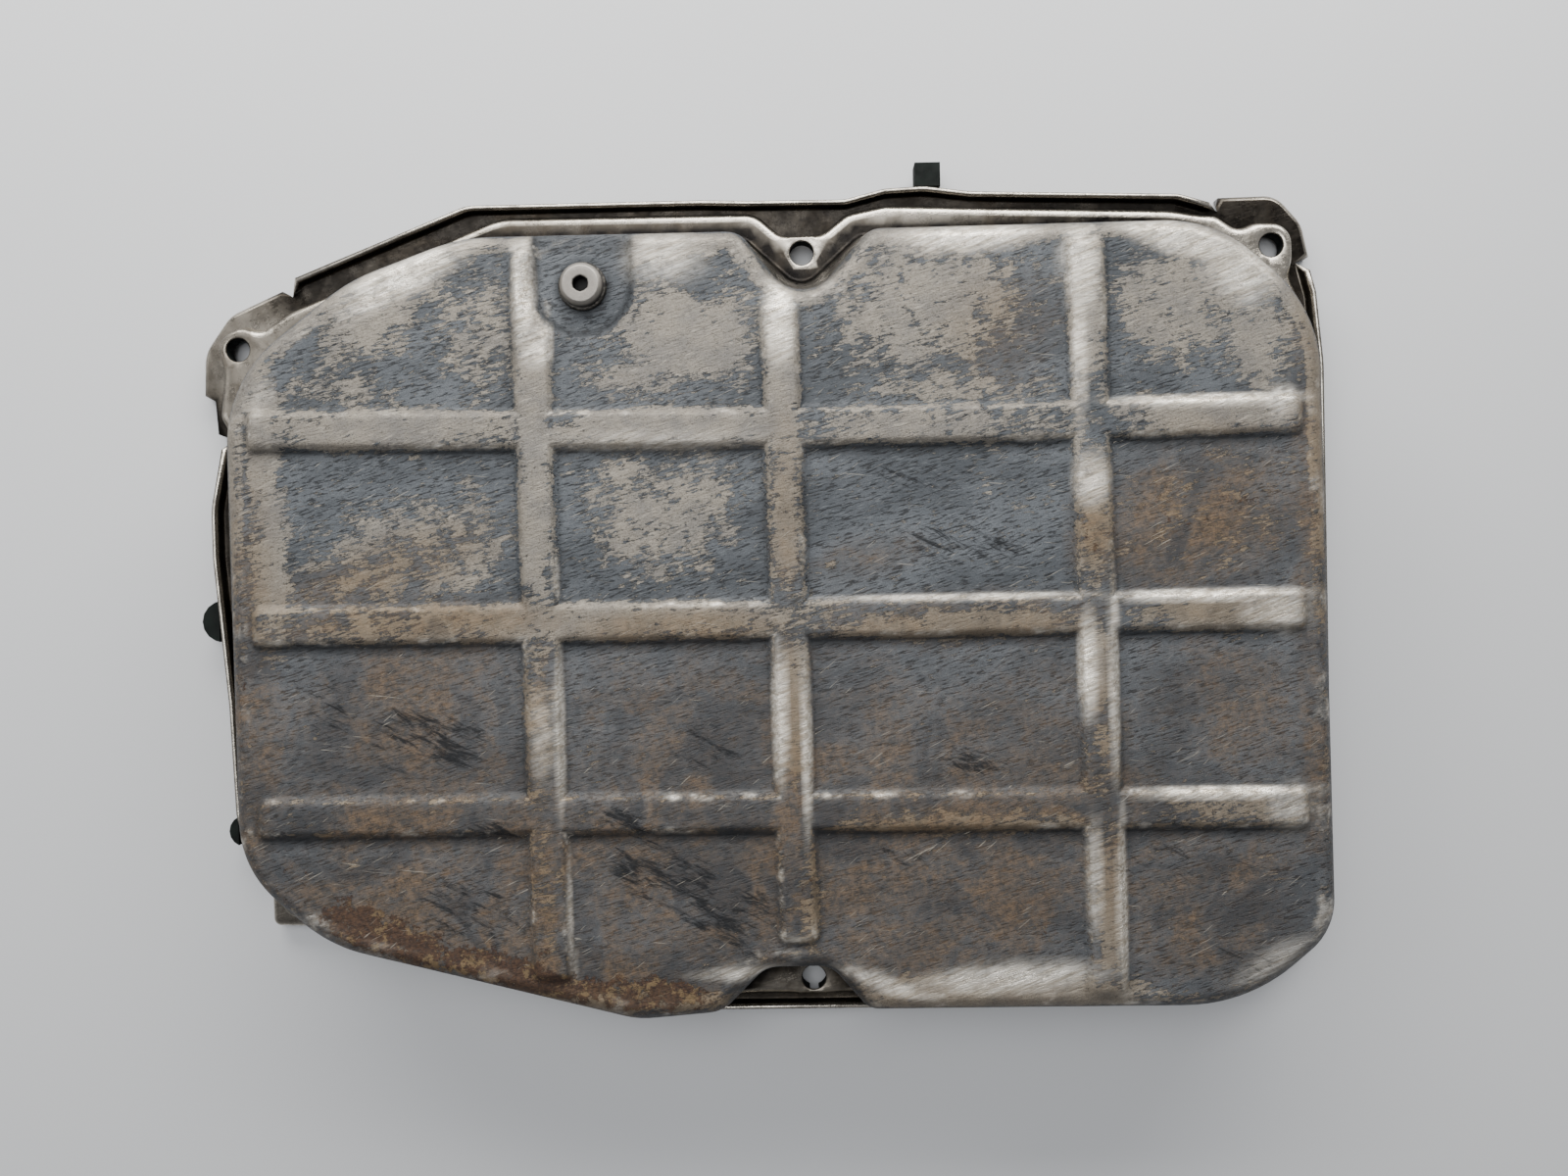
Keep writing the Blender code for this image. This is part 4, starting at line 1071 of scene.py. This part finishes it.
def add_nut():
    """The weld nut on the inside, hexagonal with bevelled corners and a thread."""
    high = SEAT - SHEET - GAP
    low = high - NUT_HEIGHT
    flat = hexagon(NUT_ACROSS)

    def bevel(limit):
        return lambda a: min(flat(a), limit)

    half = [(bevel(8.0), 0), (bevel(8.35), 0.3), (flat, 0.75)]
    profile = [(radius, low + inset) for radius, inset in half]
    profile += [(radius, high - inset) for radius, inset in reversed(half)]
    profile += [(5.6, high), (5.15, high - 0.35)]
    profile += thread(5.52, 0.45, high - 0.5, low + 0.5, 56, low + 0.3, high - 0.2)
    profile += [(5.15, low + 0.35), (5.6, low)]
    mesh = turned("nut", PLUG_X, PLUG_Y, profile, SIDES)
    look = cloudy_look("oily_nut", (0.5, 5, 0.65), ("5f5b54", "3d3022"), 0.9, (0.28, 0.5), 0.85, 2)
    nut = add("drain_nut_body", mesh, "pan", "nut_steel", [look], 30)
    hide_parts("drain_nut")


def add_magnet():
    """A ring magnet with a soft fur of steel swarf round its edges."""
    (x0, y0, low), (x1, y1, high) = [1000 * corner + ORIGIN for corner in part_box("pan_magnet")]
    outer = (x1 - x0) / 2

    def fur(radius, z, amount, seed):
        def radial(angle):
            spot = Vector((cos(angle) * 6, sin(angle) * 6, z * 1.7 + seed))
            return radius - amount * (0.5 + 0.5 * noise.noise(spot))

        return radial

    profile = [(fur(4.5, low, -0.2, 1), low)]
    profile += [(fur(outer - 1.2, low, 0.5, 2), low), (fur(outer - 0.3, low, 0.5, 3), low + 0.3)]
    rows = 9
    for k in range(rows + 1):
        z = low + 0.8 + (high - low - 1.6) * k / rows
        profile.append((fur(outer, z, 0.55, 4), z))
    profile += [(fur(outer - 0.3, high, 0.5, 5), high - 0.3), (fur(outer - 1.2, high, 0.5, 6), high)]
    profile += [(4.9, high), (4.3, high - 0.5), (4.15, high - 2), (4.15, low + 2), (4.2, low + 0.5)]
    mesh = turned("magnet", (x0 + x1) / 2, (y0 + y1) / 2, profile, 96)
    magnet = add("pan_magnet_body", mesh, "magnet", "magnet_ferrite", [magnet_look()])
    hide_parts("pan_magnet")


def add_gasket():
    """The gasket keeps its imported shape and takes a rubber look."""
    gasket = frame["nodes"]["pan_gasket"]
    gasket.data.materials.clear()
    gasket.data.materials.append(rubber_look())


def add_camera():
    """The camera looks down on the panel, almost square on."""
    camera = in_scene("camera", bpy.data.cameras.new("camera"))
    camera.data.lens = 29.25
    camera.data.sensor_width = 36
    camera.data.clip_start = 0.01
    right = Vector((0.99966, -0.01745, -0.01919))
    up = Vector((0.01745, 0.99985, -0.00034))
    back = Vector((0.0192, 0.0, 0.99982))
    height = 411
    spot = (Vector((10.9, 10.5, PANEL + height)) - ORIGIN) / 1000
    turn = Matrix((right, up, back)).transposed().to_4x4()
    camera.matrix_world = Matrix.Translation(spot) @ turn
    bpy.context.scene.camera = camera


def add_light(name, spot, size, power, color=(1, 1, 1)):
    """A rectangular light at a spot, in metres, aimed at the pan."""
    data = bpy.data.lights.new(name, "AREA")
    data.shape = "RECTANGLE"
    data.size, data.size_y = size
    data.energy = power
    data.color = color
    aim = (Vector((0, 0, 0.03)) - Vector(spot)).to_track_quat("-Z", "Y")
    in_scene(name, data).matrix_world = Matrix.Translation(spot) @ aim.to_matrix().to_4x4()


def add_stage():
    """A plain pale floor, and soft light from above."""
    mesh = bpy.data.meshes.new("floor")
    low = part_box("pan_shell")[0][2]
    radius, sides = 12, 96
    mesh.from_pydata([(*p, low) for p in circle(0, 0, radius, sides)], [], [tuple(range(sides))])
    mesh.materials.append(Look("floor").finish("c9cacb", 0.6, 0.0))
    in_scene("floor", mesh)
    add_light("key", (0.0, 0.62, 0.40), (1.3, 0.30), 13.5, (1.0, 0.99, 0.97))
    add_light("overhead", (-0.15, 0.26, 1.35), (0.8, 0.8), 11, (0.97, 0.98, 1.0))
    add_light("side", (-1.2, 0.2, 0.8), (0.8, 0.8), 3)
    world = bpy.data.worlds.new("studio")
    bpy.context.scene.world = world
    world.use_nodes = True
    background = world.node_tree.nodes["Background"]
    background.inputs["Color"].default_value = (0.92, 0.94, 1.0, 1.0)
    background.inputs["Strength"].default_value = 0.25


add_camera()
add_stage()
add_shell()
add_plug()
add_seal()
add_nut()
add_magnet()
add_gasket()
